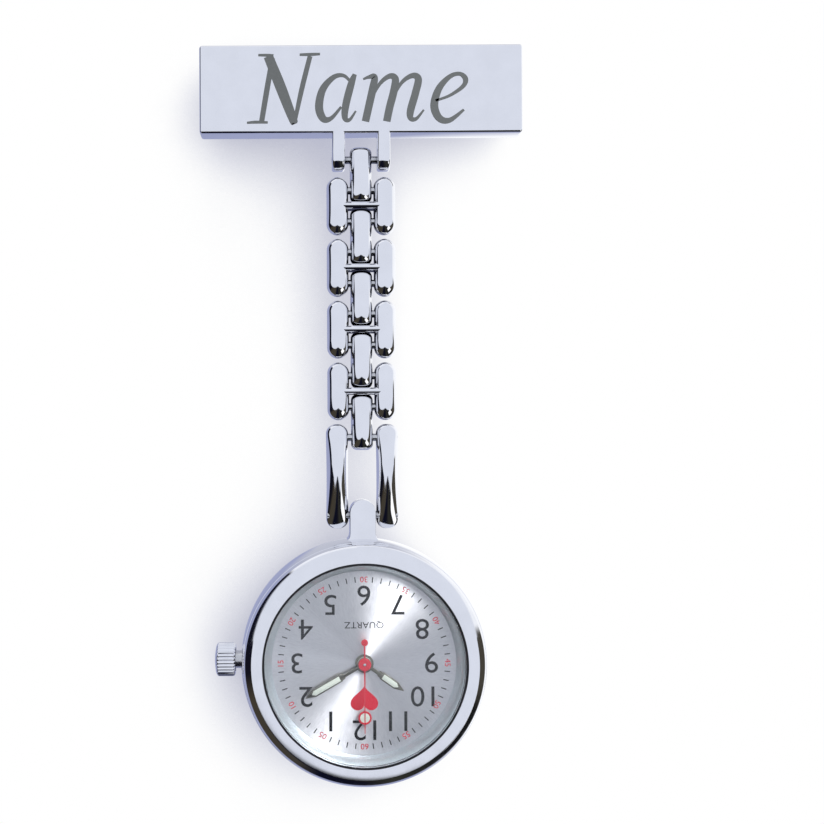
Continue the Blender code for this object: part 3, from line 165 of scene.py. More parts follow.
gap_side = calc(sky, "ADD", GAP_LEFT, calc(sky, "MULTIPLY", calc(sky, "GREATER_THAN", round_turn, 0.5),
                                           GAP_RIGHT - GAP_LEFT))
gap_inner = calc(sky, "ADD", calc(sky, "MULTIPLY", gap_side, calc(sky, "SUBTRACT", 1.0, downward)),
                 calc(sky, "MULTIPLY", downward, GAP_BELOW))
gap_outer = calc(sky, "ADD", GAP_OUTER, calc(sky, "MULTIPLY", downward, GAP_OUTER_BELOW - GAP_OUTER))
in_gap = ease(sky, off_axis, calc(sky, "SUBTRACT", gap_inner, 1.5), calc(sky, "ADD", gap_inner, 1.5))
past_gap = ease(sky, off_axis, calc(sky, "SUBTRACT", gap_outer, 2.0), calc(sky, "ADD", gap_outer, 2.0))
gap = colour_steps(sky, round_turn, GAP_COLOURS)
table = colour_steps(sky, round_turn, [(0.0, TABLE_PALE), (0.08, TABLE_PALE), (0.16, TABLE_SHADE),
                                       (0.56, TABLE_SHADE), (0.64, TABLE_WHITE), (0.86, TABLE_WHITE),
                                       (0.94, TABLE_PALE), (1.0, TABLE_PALE)])
mirrored = blend_colours(sky, in_gap, TENT_WHITE, gap)
mirrored = blend_colours(sky, past_gap, mirrored, table)
spot = calc(sky, "MULTIPLY", within(sky, round_turn, LAMP_ROUND), within(sky, off_axis, LAMP_OUT))
mirrored = blend_colours(sky, spot, mirrored, LAMP_WHITE)
path = sky.nodes.new("ShaderNodeLightPath")
seen = blend_colours(sky, path.outputs["Is Diffuse Ray"], mirrored, AMBIENT)
seen = blend_colours(sky, path.outputs["Is Camera Ray"], seen, (1.0, 1.0, 1.0))
background = sky.nodes.new("ShaderNodeBackground")
sky.links.new(seen, background.inputs["Color"])
sky.links.new(background.outputs[0], sky.nodes.new("ShaderNodeOutputWorld").inputs["Surface"])


PAPER_REACH = 30.0  # how far in front of the paper a piece still shades it
TOWARDS_LIGHT = (4.0, -7.0, 2.0)
# The painted shadow's colours, from darkest near the pieces to clear white, by how open the paper is towards
# the light.
PAINTED_PAPER_SHADOW = [(0.12, (0.33, 0.35, 0.52)), (0.40, (0.54, 0.55, 0.64)), (0.63, (0.78, 0.79, 0.85)),
                (0.79, (1.0, 1.0, 1.0))]


def paper_sheet(name, corners):
    """White paper, as no more than a painted soft shadow on it: clear wherever nothing stands in front of it,
    so it never hides a piece that swings behind it. Only the camera sees it, and only from the front."""
    mesh = bpy.data.meshes.new(name)
    mesh.from_pydata(corners, [], [(0, 1, 2, 3)])
    sheet = bpy.data.objects.new(name, mesh)
    scene.collection.objects.link(sheet)
    sheet.visible_glossy = sheet.visible_diffuse = sheet.visible_transmission = sheet.visible_shadow = False
    paper = bpy.data.materials.new(name)
    paper.use_nodes = True
    tree = paper.node_tree
    tree.nodes.clear()
    facing = tree.nodes.new("ShaderNodeCombineXYZ")
    for socket, part in zip(facing.inputs, Vector(TOWARDS_LIGHT).normalized()):
        socket.default_value = part
    open_sky = tree.nodes.new("ShaderNodeAmbientOcclusion")
    open_sky.samples, open_sky.inputs["Distance"].default_value = 16, PAPER_REACH * MM
    tree.links.new(facing.outputs[0], open_sky.inputs["Normal"])
    # Painted shadow: an occlusion test towards the light picks the film's tint, lavender grey behind the
    # pieces and white elsewhere.
    shade = colour_steps(tree, open_sky.outputs["AO"], PAINTED_PAPER_SHADOW)
    behind = tree.nodes.new("ShaderNodeNewGeometry").outputs["Backfacing"]
    film = tree.nodes.new("ShaderNodeBsdfTransparent")
    tree.links.new(blend_colours(tree, behind, shade, (1.0, 1.0, 1.0)), film.inputs["Color"])
    tree.links.new(film.outputs[0], tree.nodes.new("ShaderNodeOutputMaterial").inputs["Surface"])
    mesh.materials.append(paper)


middle = (cad_low + cad_high) / 2
floor_z = cad_low.z - FLOOR_BELOW
left, right, top = middle.x - PAPER_SIZE, middle.x + PAPER_SIZE, middle.z + PAPER_SIZE
paper_sheet("backdrop", [(left, PAPER_BEHIND, floor_z), (right, PAPER_BEHIND, floor_z),
                         (right, PAPER_BEHIND, top), (left, PAPER_BEHIND, top)])
paper_sheet("floor", [(-FLOOR_SIZE, -FLOOR_SIZE, floor_z), (FLOOR_SIZE, -FLOOR_SIZE, floor_z),
                      (FLOOR_SIZE, FLOOR_SIZE, floor_z), (-FLOOR_SIZE, FLOOR_SIZE, floor_z)])


LAMP_PLACE, LAMP_POINTING = (75, -125, 25), (-0.55, 0.8, -0.35)


def lamp(name, size, energy):
    """A square lamp in front, to the upper right of the watch."""
    light = bpy.data.lights.new(name, "AREA")
    light.energy, light.size = energy, size * MM
    piece = bpy.data.objects.new(name, light)
    piece.location = Vector(LAMP_PLACE) * MM
    piece.rotation_euler = Vector(LAMP_POINTING).to_track_quat("-Z", "Y").to_euler()
    scene.collection.objects.link(piece)
    return piece


key_lamp = lamp("key_lamp", 70, 0.10)
key_lamp.visible_glossy = False
dial_lamp = lamp("dial_lamp", 60, 0.42)
brushed_only = bpy.data.collections.new("brushed")
dial_lamp.light_linking.receiver_collection = brushed_only

# ---- Badge plate
# A die-cast bar, polished and chrome plated, that carries the wearer's name. Two ears are cast on below
# it for the chain's first pin, and its back is hollowed for the brooch fitting.
BADGE_WIDTH, BADGE_HEIGHT, BADGE_DEPTH = 38.8, 10.6, 2.8
BADGE_EDGE = 0.36
CHAIN_Y = -3.3
BADGE_FRONT = CHAIN_Y - BADGE_DEPTH / 2
EAR_INSIDE, EAR_WIDTH = 1.95, 1.56
EAR_EDGE = 0.32
TOP_HINGE_Z = -8.24
RECESS_WIDTH, RECESS_HEIGHT, RECESS_DEPTH = 34.0, 6.6, 0.9
CHROME_TINT = (0.90, 0.905, 0.935)
# The colour of the painted shade in crevices, and the occlusion values it eases between.
CREVICE_PAINTED_SHADE, CREVICE_SHADE_SHARES = (0.045, 0.048, 0.075), (0.36, 0.74)
RECESS_EDGE = 0.35


def mesh_from(name, points, faces, placing=Matrix.Identity(4)):
    """A mesh from points in millimetres, put in its place in metres."""
    mesh = bpy.data.meshes.new(name)
    mesh.from_pydata([(placing @ Vector(point)) * MM for point in points], [], faces)
    return mesh


def lofted(rings, loop=False):
    """Skins rings of equal count into a closed body; an end ring of one point is a pole."""
    points, faces, starts = [], [], []
    for ring in rings:
        starts.append(len(points))
        points.extend(ring)
    count = max(len(ring) for ring in rings)
    pairs = list(zip(range(len(rings) - 1), range(1, len(rings))))
    if loop:
        pairs.append((len(rings) - 1, 0))
    for low, high in pairs:
        a, b = starts[low], starts[high]
        for i in range(count):
            j = (i + 1) % count
            if len(rings[low]) == 1:
                faces.append((a, b + j, b + i))
            elif len(rings[high]) == 1:
                faces.append((a + i, a + j, b))
            else:
                faces.append((a + i, a + j, b + j, b + i))
    if not loop:
        for index in (0, len(rings) - 1):
            if len(rings[index]) > 1:
                faces.append(tuple(starts[index] + i for i in range(count)))
    return points, faces


def slab(outline, low, high):
    """A flat outline given thickness along Z."""
    return lofted([[(x, y, low) for x, y in outline], [(x, y, high) for x, y in outline]])


def block(low, high):
    corners = [(low[0], low[1]), (high[0], low[1]), (high[0], high[1]), (low[0], high[1])]
    return slab(corners, low[2], high[2])


def arc(centre, radius, start, end, steps):
    """Points along an arc, with angles in degrees."""
    turns = [math.radians(start + (end - start) * i / steps) for i in range(steps + 1)]
    return [(centre[0] + radius * math.cos(t), centre[1] + radius * math.sin(t)) for t in turns]


def settled(mesh, *changes):
    """Runs modifiers, given as (type, settings) pairs, and returns the plain mesh they leave."""
    piece = bpy.data.objects.new("working", mesh)
    scene.collection.objects.link(piece)
    for number, (kind, settings) in enumerate(changes):
        modifier = piece.modifiers.new(str(number), kind)
        for key, value in settings.items():
            setattr(modifier, key, value)
    bpy.context.view_layer.update()
    result = bpy.data.meshes.new_from_object(piece.evaluated_get(bpy.context.evaluated_depsgraph_get()))
    bpy.data.objects.remove(piece)
    return result


def bevelled(mesh, width, segments, angle=30):
    """Rounds off every edge sharper than so many degrees."""
    return settled(outward(mesh), ("BEVEL", {"width": width * MM, "segments": segments,
                                             "limit_method": "ANGLE", "angle_limit": math.radians(angle)}))


def with_tool(mesh, tool, operation):
    """Adds a tool body to a mesh, or cuts it away."""
    outward(tool)
    helper = bpy.data.objects.new("tool", tool)
    scene.collection.objects.link(helper)
    helper.hide_render = True
    result = settled(mesh, ("BOOLEAN", {"object": helper, "operation": operation, "solver": "EXACT"}))
    bpy.data.objects.remove(helper)
    return result


def outward(mesh):
    shell = bmesh.new()
    shell.from_mesh(mesh)
    bmesh.ops.remove_doubles(shell, verts=shell.verts, dist=1e-7)
    bmesh.ops.recalc_face_normals(shell, faces=shell.faces)
    for face in shell.faces:
        face.smooth = True
    shell.to_mesh(mesh)
    shell.free()
    return mesh


def joined(name, *meshes):
    """One mesh from several, each a closed body of its own."""
    whole = bmesh.new()
    for mesh in meshes:
        whole.from_mesh(mesh)
    mesh = bpy.data.meshes.new(name)
    whole.to_mesh(mesh)
    whole.free()
    return mesh


def fitted(name, mesh, finish, body, slot, *stands_for, crease=34):
    """Makes the mesh a finished piece on its body, standing for the frame's plain parts."""
    outward(mesh)
    mesh.set_sharp_from_angle(angle=math.radians(crease))
    mesh.materials.clear()
    mesh.materials.append(finish)
    mesh.name = name
    piece = bpy.data.objects.new(name, mesh)
    scene.collection.objects.link(piece)
    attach(piece, body)
    if stands_for:
        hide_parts(*stands_for)
    return piece


def new_finish(name):
    """A blank material: its tree, its shader and its Object coordinates."""
    finish = bpy.data.materials.new(name)
    finish.use_nodes = True
    tree = finish.node_tree
    place = tree.nodes.new("ShaderNodeTexCoord").outputs["Object"]
    return finish, tree, tree.nodes["Principled BSDF"], place


def grain(tree, place, scale, stretch=(1, 1, 1), detail=3.0, turn=(0, 0, 0)):
    """Noise of so many lumps a metre; stretch below 1 draws it out along an axis."""
    mapping = tree.nodes.new("ShaderNodeMapping")
    mapping.inputs["Scale"].default_value = stretch
    mapping.inputs["Rotation"].default_value = turn
    noise = tree.nodes.new("ShaderNodeTexNoise")
    noise.inputs["Scale"].default_value = scale
    noise.inputs["Detail"].default_value = detail
    tree.links.new(place, mapping.inputs["Vector"])
    tree.links.new(mapping.outputs[0], noise.inputs["Vector"])
    return noise.outputs["Fac"]


def spread(tree, value, low, high):
    """Maps the middle of a noise to a range."""
    node = tree.nodes.new("ShaderNodeMapRange")
    tree.links.new(value, node.inputs["Value"])
    for name, number in (("From Min", 0.3), ("From Max", 0.7), ("To Min", low), ("To Max", high)):
        node.inputs[name].default_value = number
    return node.outputs[0]


def dented(tree, shader, *heights):
    """Bumps, each an output and a height in metres, one on another."""
    normal = None
    for height, depth in heights:
        bump = tree.nodes.new("ShaderNodeBump")
        bump.inputs["Strength"].default_value = 1.0
        bump.inputs["Distance"].default_value = depth
        tree.links.new(height, bump.inputs["Height"])
        if normal:
            tree.links.new(normal, bump.inputs["Normal"])
        normal = bump.outputs[0]
    tree.links.new(normal, shader.inputs["Normal"])


def grained(name, first, second, scale, rough, depth, detail=2, stretch=(1, 1, 1), metallic=0.0, settings=()):
    """A finish whose colour, roughness and bump all follow one grain."""
    finish, tree, shader, place = new_finish(name)
    for socket, value in (("Metallic", metallic), *settings):
        shader.inputs[socket].default_value = value
    pattern = grain(tree, place, scale, stretch, detail)
    colour = blend_colours(tree, spread(tree, pattern, 0, 1), first, second)
    tree.links.new(colour, shader.inputs["Base Color"])
    tree.links.new(spread(tree, pattern, *rough), shader.inputs["Roughness"])
    dented(tree, shader, (pattern, depth))
    return finish


def plated(name, tint, rough, wave, scratch, shine=0.35, crevice_shade=0.0):
    """Polished plating: a little orange peel, hairline scratches, faint smears from handling, and painted
    shade that darkens crevices narrower than the given distance."""
    finish, tree, shader, place = new_finish(name)
    shader.inputs["Metallic"].default_value = 1.0
    smear = grain(tree, place, 420, detail=4)
    darker = tuple(part * 0.955 for part in tint)
    clean = blend_colours(tree, spread(tree, smear, 0, 1), tint, darker)
    # Painted shade: an occlusion test darkens the colour in crevices narrower than the given distance, where
    # shadow falls.
    if crevice_shade:
        hollow = tree.nodes.new("ShaderNodeAmbientOcclusion")
        hollow.samples = 8
        hollow.inputs["Distance"].default_value = crevice_shade
        clean = blend_colours(tree, ease(tree, hollow.outputs["AO"], *CREVICE_SHADE_SHARES), CREVICE_PAINTED_SHADE, clean)
    tree.links.new(clean, shader.inputs["Base Color"])
    hairs = grain(tree, place, 2600, (1.0, 1.0, 0.05), 2, (0.35, 0.5, 0.25))
    roughness = calc(tree, "ADD", spread(tree, smear, rough, rough * 1.8),
                     spread(tree, hairs, 0.0, rough * shine))
    tree.links.new(roughness, shader.inputs["Roughness"])
    dented(tree, shader, (grain(tree, place, 260, detail=1), wave), (hairs, scratch))
    return finish


chrome = plated("polished_chrome", CHROME_TINT, 0.035, 0.000012, 0.0000004)
flat_chrome = plated("flat_polished_chrome", CHROME_TINT, 0.05, 0.000004, 0.0000003)

half = (BADGE_WIDTH / 2, BADGE_DEPTH / 2, BADGE_HEIGHT / 2)
at_chain = Matrix.Translation((0, CHAIN_Y, 0))
plate = mesh_from("plate", *block((-half[0], -half[1], -half[2]), half), at_chain)
plate = bevelled(plate, BADGE_EDGE, 6)
ear_profile = [(half[1], 4.0), (-half[1], 4.0)] + arc((0, 0), half[1], 180, 360, 28)
upright_x = Matrix(((0, 0, 1, 0), (1, 0, 0, 0), (0, 1, 0, 0), (0, 0, 0, 1)))  # outline in YZ, thick along X
for ear_low in (-EAR_INSIDE - EAR_WIDTH, EAR_INSIDE):
    ear = mesh_from("ear", *slab(ear_profile, ear_low, ear_low + EAR_WIDTH),
                    Matrix.Translation((0, CHAIN_Y, TOP_HINGE_Z)) @ upright_x)
    plate = with_tool(plate, bevelled(ear, EAR_EDGE, 4, 40), "UNION")
recess = mesh_from("recess", *block((-RECESS_WIDTH / 2, half[1] - RECESS_DEPTH, -RECESS_HEIGHT / 2),
                                    (RECESS_WIDTH / 2, half[1] * 2, RECESS_HEIGHT / 2)), at_chain)
plate = with_tool(plate, bevelled(recess, RECESS_EDGE, 4), "DIFFERENCE")
fitted("badge", plate, flat_chrome, "badge", "polished_chrome", "badge_plate", crease=30)

# ---- Name on the badge
# A sample word where the wearer's own name goes: slanting roman letters engraved shallowly and filled
# with dark grey enamel. Each stroke is drawn as a broad pen would, wide on the downstrokes.
ENAMEL_GREYS = (0.155, 0.165, 0.158), (0.185, 0.195, 0.188)
LETTER_FILL = 0.012
LETTER_ROOT = 0.02  # how deep a stroke starts in the badge
LETTER_STEP = 0.004  # each stroke lies this much over the last, so that none share a face
STROKES = [  # points (x, z) across and up the badge, and the pen's width at each
    [(-11.95, -4.0, 0.62), (-11.3, -0.2, 0.66), (-10.6, 3.7, 0.62)],
    [(-11.1, 3.9, 1.15), (-9.6, 0.1, 1.28), (-8.15, -3.75, 1.0), (-8.0, -4.1, 0.5)],
    [(-8.0, -4.1, 0.45), (-7.1, 0.0, 0.6), (-6.1, 3.9, 0.58)],
    [(-12.3, 4.05, 0.28), (-11.2, 4.02, 0.36), (-10.5, 3.9, 0.5)],
    [(-13.7, -4.05, 0.26), (-12.6, -3.98, 0.36), (-11.2, -4.02, 0.28)],
    [(-7.35, 4.08, 0.28), (-6.1, 4.1, 0.36), (-4.9, 4.15, 0.28)],
    [(-1.2, 0.75, 0.3), (-2.1, 1.55, 0.42), (-3.3, 1.35, 0.6), (-4.6, -0.1, 0.85), (-5.05, -2.2, 0.98),
     (-4.55, -3.6, 0.85), (-3.6, -3.55, 0.5), (-2.4, -2.2, 0.3)],
    [(-0.75, 1.7, 0.5), (-1.2, 0.5, 0.85), (-1.85, -2.0, 0.88), (-1.95, -3.5, 0.7), (-1.4, -3.75, 0.4),
     (-0.65, -2.7, 0.22)],
    [(0.25, 1.1, 0.22), (0.9, 1.35, 0.4), (1.6, 1.35, 0.75), (1.4, 0.0, 0.92), (0.9, -2.2, 0.92),
     (0.5, -3.95, 0.9)],
    [(1.1, -1.6, 0.22), (2.2, 0.5, 0.42), (3.4, 1.45, 0.6), (4.1, 1.1, 0.85), (3.9, -0.4, 0.92),
     (3.4, -2.3, 0.92), (3.05, -3.95, 0.9)],
    [(3.6, -1.6, 0.22), (4.8, 0.6, 0.42), (6.1, 1.5, 0.6), (6.85, 1.1, 0.85), (6.5, -0.6, 0.9),
     (5.9, -2.7, 0.88), (5.95, -3.6, 0.65), (6.6, -3.65, 0.4), (7.5, -2.6, 0.22)],
    [(8.9, -1.5, 0.28), (10.6, -0.9, 0.34), (12.2, 0.2, 0.5), (12.5, 1.1, 0.62), (11.8, 1.7, 0.45),
     (10.6, 1.35, 0.55), (9.3, -0.1, 0.82), (8.75, -2.1, 0.95), (9.35, -3.6, 0.85), (10.6, -3.85, 0.6),
     (12.3, -2.6, 0.3)],
]


def pen_line(stroke, steps=9):
    """A smooth curve through the stroke's points, as (x, z, width)."""
    line = []
    for i in range(len(stroke) - 1):
        before, start, end, after = (Vector(stroke[max(0, min(k, len(stroke) - 1))])
                                     for k in range(i - 1, i + 3))
        for k in range(steps):
            t = k / steps
            line.append(0.5 * ((2 * start) + (end - before) * t
                               + (2 * before - 5 * start + 4 * end - after) * t * t
                               + (3 * start - before - 3 * end + after) * t ** 3))
    return line + [Vector(stroke[-1])]


def pen_stroke(stroke, height):
    line = pen_line(stroke)
    rings = []
    for i, point in enumerate(line):
        ahead = line[min(i + 1, len(line) - 1)] - line[max(i - 1, 0)]
        along = Vector((ahead.x, ahead.y)).normalized()
        across = Vector((-along.y, along.x)) * point.z / 2
        a, b = Vector(point[:2]) + across, Vector(point[:2]) - across
        back, front = BADGE_FRONT + LETTER_ROOT, BADGE_FRONT - height
        rings.append([(a.x, back, a.y), (a.x, front, a.y), (b.x, front, b.y), (b.x, back, b.y)])
    return mesh_from("stroke", *lofted(rings))


enamel = grained("grey_enamel", *ENAMEL_GREYS, 9000, (0.5, 0.62), 0.000002,
                 settings=[("Specular IOR Level", 0.2)])
letters = joined("letters", *(outward(pen_stroke(stroke, LETTER_FILL + LETTER_STEP * i))
                              for i, stroke in enumerate(STROKES)))
fitted("name_letters", letters, enamel, "badge", "dark_hand_metal")

# ---- Brooch fitting
# A steel bar riveted into the badge's hollow back, with a hinged sprung needle, a rolled catch and a
# turning safety roller that closes over the needle.
BAR_LENGTH, BAR_HEIGHT, BAR_LOW, BAR_HIGH, BAR_EDGE = 31.0, 4.2, -2.75, -2.05, 0.16
PIVOT_X, TAB_START, TAB_END, EYE_RADIUS = 12.5, 0.7, 1.25, 1.05
CATCH_X, CATCH_RADIUS, CATCH_HALF, CATCH_BORE = -12.0, 1.65, 0.8, 1.2
NEEDLE_RADIUS, NEEDLE_TIP, NEEDLE_TAPER = 0.45, -14.6, 3.0
ROLLER_RADIUS, ROLLER_BORE, ROLLER_SLOT = 1.15, 0.62, 1.1
ROLLER_ENDS, LEVER_ENDS, LEVER_REACH = (-13.7, -11.2), (-13.7, -12.9), 1.85
STEEL_TINT = (0.66, 0.665, 0.68)


def turned(profile, steps=64, loop=False):
    """A lathe-turned body round Z from (radius, height) pairs."""
    round_points = [(math.cos(math.tau * i / steps), math.sin(math.tau * i / steps)) for i in range(steps)]
    rings = [[(0, 0, height)] if radius < 1e-6 and not loop
             else [(radius * x, radius * y, height) for x, y in round_points] for radius, height in profile]
    return lofted(rings, loop)


def rod_profile(radius, low, high, edge):
    """A rod's profile, from pole to pole, with its two edges rounded off."""
    lower = [(radius - edge + edge * math.sin(t), low + edge - edge * math.cos(t))
             for t in (math.pi / 2 * i / 4 for i in range(5))]
    return [(0, low)] + lower + [(r, low + high - z) for r, z in reversed(lower)] + [(0, high)]


along_x = Matrix.Rotation(math.radians(90), 4, "Y")
steel = plated("drawn_steel", STEEL_TINT, 0.14, 0.000003, 0.0000012, 0.8)

bar = mesh_from("bar", *block((-BAR_LENGTH / 2, BAR_LOW, -BAR_HEIGHT / 2),
                              (BAR_LENGTH / 2, BAR_HIGH, BAR_HEIGHT / 2)))
bar = bevelled(bar, BAR_EDGE, 3)
tab_outline = [(-EYE_RADIUS, -2.3), (EYE_RADIUS, -2.3)] + arc((0, 0), EYE_RADIUS, 0, 180, 24)
for side in (-1, 1):
    low, high = sorted((side * TAB_START, side * TAB_END))
    tab = mesh_from("tab", *slab(tab_outline, low, high), Matrix.Translation((PIVOT_X, 0, 0)))
    bar = with_tool(bar, tab, "UNION")
catch = mesh_from("catch", *turned(rod_profile(CATCH_RADIUS, -CATCH_HALF, CATCH_HALF, 0.12)),
                  Matrix.Translation((CATCH_X, 0, 0)) @ along_x)
foot = mesh_from("foot", *block((CATCH_X - CATCH_HALF, -2.4, -CATCH_RADIUS * 0.7),
                                (CATCH_X + CATCH_HALF, -1.15, CATCH_RADIUS * 0.7)))
bore = mesh_from("bore", *turned(rod_profile(CATCH_BORE, -2, 2, 0.01)),
                 Matrix.Translation((CATCH_X, 0, 0)) @ along_x)
mouth = mesh_from("mouth", *block((CATCH_X - 2, 0, -ROLLER_SLOT / 2), (CATCH_X + 2, 3, ROLLER_SLOT / 2)))
for tool, operation in ((catch, "UNION"), (foot, "UNION"), (bore, "DIFFERENCE"), (mouth, "DIFFERENCE")):
    bar = with_tool(bar, tool, operation)
fitted("brooch_plate", bar, steel, "badge", "plain_steel", "brooch_bar", crease=30)

rivet = mesh_from("rivet", *turned(rod_profile(0.4, -TAB_END - 0.06, TAB_END + 0.06, 0.14)),
                  Matrix.Translation((PIVOT_X, 0, 0)))
fitted("needle_rivet", rivet, steel, "badge", "plain_steel", "brooch_rivet")

reach = PIVOT_X - NEEDLE_TIP
needle_profile = [(0, 0.6), (NEEDLE_RADIUS, 0.6), (NEEDLE_RADIUS, reach - NEEDLE_TAPER - 0.2)]
needle_profile += [(NEEDLE_RADIUS * share, reach - back) for share, back in
                   ((0.96, NEEDLE_TAPER - 0.4), (0.7, 1.3), (0.36, 0.25), (0.16, 0.04), (0, 0))]
needle = mesh_from("shank", *turned(needle_profile, 32),
                   Matrix.Translation((PIVOT_X, 0, 0)) @ Matrix.Rotation(math.radians(-90), 4, "Y"))
eye_section = [(0.46, -0.6), (0.95, -0.6), (EYE_RADIUS, -0.5), (EYE_RADIUS, 0.5), (0.95, 0.6), (0.46, 0.6)]
eye = mesh_from("eye", *turned(eye_section, 40, loop=True), Matrix.Translation((PIVOT_X, 0, 0)))
fitted("needle", joined("needle", outward(needle), outward(eye)), steel, "needle", "plain_steel",
       "brooch_needle")

roller_middle = sum(ROLLER_ENDS) / 2
roller_half = ROLLER_ENDS[1] - roller_middle
roller = mesh_from("roller", *turned(rod_profile(ROLLER_RADIUS, -roller_half, roller_half, 0.1)),
                   Matrix.Translation((roller_middle, 0, 0)) @ along_x)
lever = mesh_from("lever", *block((LEVER_ENDS[0], -NEEDLE_RADIUS, -LEVER_REACH),
                                  (LEVER_ENDS[1], NEEDLE_RADIUS, -ROLLER_BORE)))
lever = settled(outward(lever), ("BEVEL", {"width": 0.12 * MM, "segments": 3, "limit_method": "ANGLE"}))
bore = mesh_from("bore", *turned(rod_profile(ROLLER_BORE, -3, 3, 0.01), 40),
                 Matrix.Translation((CATCH_X, 0, 0)) @ along_x)
mouth = mesh_from("mouth", *block((CATCH_X - 3, 0, -ROLLER_SLOT / 2), (CATCH_X + 3, 3, ROLLER_SLOT / 2)))
roller = with_tool(outward(roller), lever, "UNION")
roller = with_tool(roller, bore, "DIFFERENCE")
roller = with_tool(roller, mouth, "DIFFERENCE")
fitted("catch_roller", roller, steel, "roller", "plain_steel", "safety_roller", crease=30)

# ---- Chain links
# Cast and chromed: single centre links, and side links of two round-ended bars joined by a web. Cross
# pins run through the ends of both. Each link hangs from the pin above it.
LINK_WIDTH, LINK_DEPTH, LINK_FULLNESS = 2.65, 2.4, 0.95
LINK_CROWN = 2.8  # how squarely a link's face runs out to its ends, seen from the side
CENTRE_SPACING, CENTRE_END, CENTRE_CORNER = 3.70, 1.53, 0.75
SIDE_SPACING, SIDE_END, SIDE_OFFSET = 3.77, 1.62, 2.84
WEB_DEPTH, WEB_CLEAR, WEB_BULGE = 1.5, 1.65, 0.32
PIN_RADIUS, PIN_HEAD = 0.45, 0.03
SIDE_PIN, BADGE_PIN = 8.2, 7.02


def bar_body(width, spacing, end, corner, front=None, waist=0.0, facets=40):
    """A crowned bar hanging from the origin, with round ends; front, if given, is how far its face stands
    forward of the pins at (share of length, distance) pairs."""
    half_length = spacing / 2 + end
    rings = [[(0, 0, end)]]
    for i in range(1, 56):
        u = -math.cos(math.pi * i / 56)
        height = -spacing / 2 - u * half_length
        share = max(-height / spacing, 0.0)
        deep = (1 - abs(u) ** LINK_CROWN) ** (1 / LINK_CROWN)
        forward = LINK_DEPTH / 2
        if front:
            k = min(max(j for j, (s, _) in enumerate(front) if s <= share), len(front) - 2)
            (s0, f0), (s1, f1) = front[k], front[k + 1]
            forward = f0 + (f1 - f0) * (share - s0) / (s1 - s0)
        into = max(abs(u) * half_length - (half_length - corner), 0.0)
        half_width = width / 2 - corner + math.sqrt(max(corner ** 2 - into ** 2, 0.0))
        half_width -= waist * math.sin(math.pi * min(share, 1.0))
        ring = []
        for k in range(facets):
            t = math.tau * (k + 0.5) / facets
            across = math.copysign(abs(math.cos(t)) ** LINK_FULLNESS, math.cos(t))
            along = math.copysign(abs(math.sin(t)) ** LINK_FULLNESS, math.sin(t))
            reach = LINK_DEPTH / 2 if along > 0 else forward
            ring.append((half_width * across, reach * deep * along, height))
        rings.append(ring)
    rings.append([(0, 0, -spacing - end)])
    return lofted(rings)


def nodes_for(name, output, **inputs):
    """A Geometry Nodes tree with these named inputs, and its input and output nodes."""
    tree = bpy.data.node_groups.new(name, "GeometryNodeTree")
    for socket, kind in inputs.items():
        tree.interface.new_socket(socket, in_out="INPUT", socket_type="NodeSocket" + kind)
    tree.interface.new_socket(output, in_out="OUTPUT", socket_type="NodeSocketGeometry")
    return tree, tree.nodes.new("NodeGroupInput"), tree.nodes.new("NodeGroupOutput")


def set_out(tree, points, item, material, out):
    """Ends a tree: the item on every point, made real and given its material."""
    put = tree.nodes.new("GeometryNodeInstanceOnPoints")
    real, coat = tree.nodes.new("GeometryNodeRealizeInstances"), tree.nodes.new("GeometryNodeSetMaterial")
    tree.links.new(points, put.inputs["Points"])
    tree.links.new(item, put.inputs["Instance"])
    tree.links.new(put.outputs[0], real.inputs[0])
    tree.links.new(real.outputs[0], coat.inputs["Geometry"])
    tree.links.new(material, coat.inputs["Material"])
    tree.links.new(coat.outputs[0], out.inputs[0])
    return put


def bars_tree():
    """Sets one bar, or a pair of bars side by side, below a hinge at a given drop."""
    tree, given, out = nodes_for("bars_on_a_pin", "Link", Bar="Geometry", Bars="Int", Offset="Float",
                                 Forward="Float", Drop="Float", Metal="Material")
    line = tree.nodes.new("GeometryNodeMeshLine")
    start, step = tree.nodes.new("ShaderNodeCombineXYZ"), tree.nodes.new("ShaderNodeCombineXYZ")
    tree.links.new(given.outputs["Bars"], line.inputs["Count"])
    tree.links.new(calc(tree, "MULTIPLY", given.outputs["Offset"], -1.0), start.inputs["X"])
    tree.links.new(given.outputs["Forward"], start.inputs["Y"])
    tree.links.new(given.outputs["Drop"], start.inputs["Z"])
    tree.links.new(calc(tree, "MULTIPLY", given.outputs["Offset"], 2.0), step.inputs["X"])
    tree.links.new(start.outputs[0], line.inputs["Start Location"])
    tree.links.new(step.outputs[0], line.inputs["Offset"])
    set_out(tree, line.outputs[0], given.outputs["Bar"], given.outputs["Metal"], out)
    return tree


def grown(tree, mesh, **sizes):
    """The plain mesh that a Geometry Nodes tree makes from a mesh with these sizes."""
    piece = bpy.data.objects.new("working", mesh)
    scene.collection.objects.link(piece)
    modifier = piece.modifiers.new("nodes", "NODES")
    modifier.node_group = tree
    for item in tree.interface.items_tree:
        if item.in_out == "INPUT" and item.name in sizes:
            modifier[item.identifier] = sizes[item.name]
    piece.update_tag()
    bpy.context.view_layer.update()
    result = bpy.data.meshes.new_from_object(piece.evaluated_get(bpy.context.evaluated_depsgraph_get()))
    piece.modifiers.clear()
    bpy.data.objects.remove(piece)
    return result


bars_on_a_pin = bars_tree()


def hinge_pin(length, height):
    """A cross pin, its ends riveted to low domes."""
    dome = [(0, -length / 2 - PIN_HEAD), (PIN_RADIUS * 0.6, -length / 2 - PIN_HEAD * 0.7),
            (PIN_RADIUS, -length / 2 + 0.05)]
    profile = dome + [(r, -z) for r, z in reversed(dome)]
    return mesh_from("pin", *turned(profile, 28), Matrix.Translation((0, CHAIN_Y, height)) @ along_x)
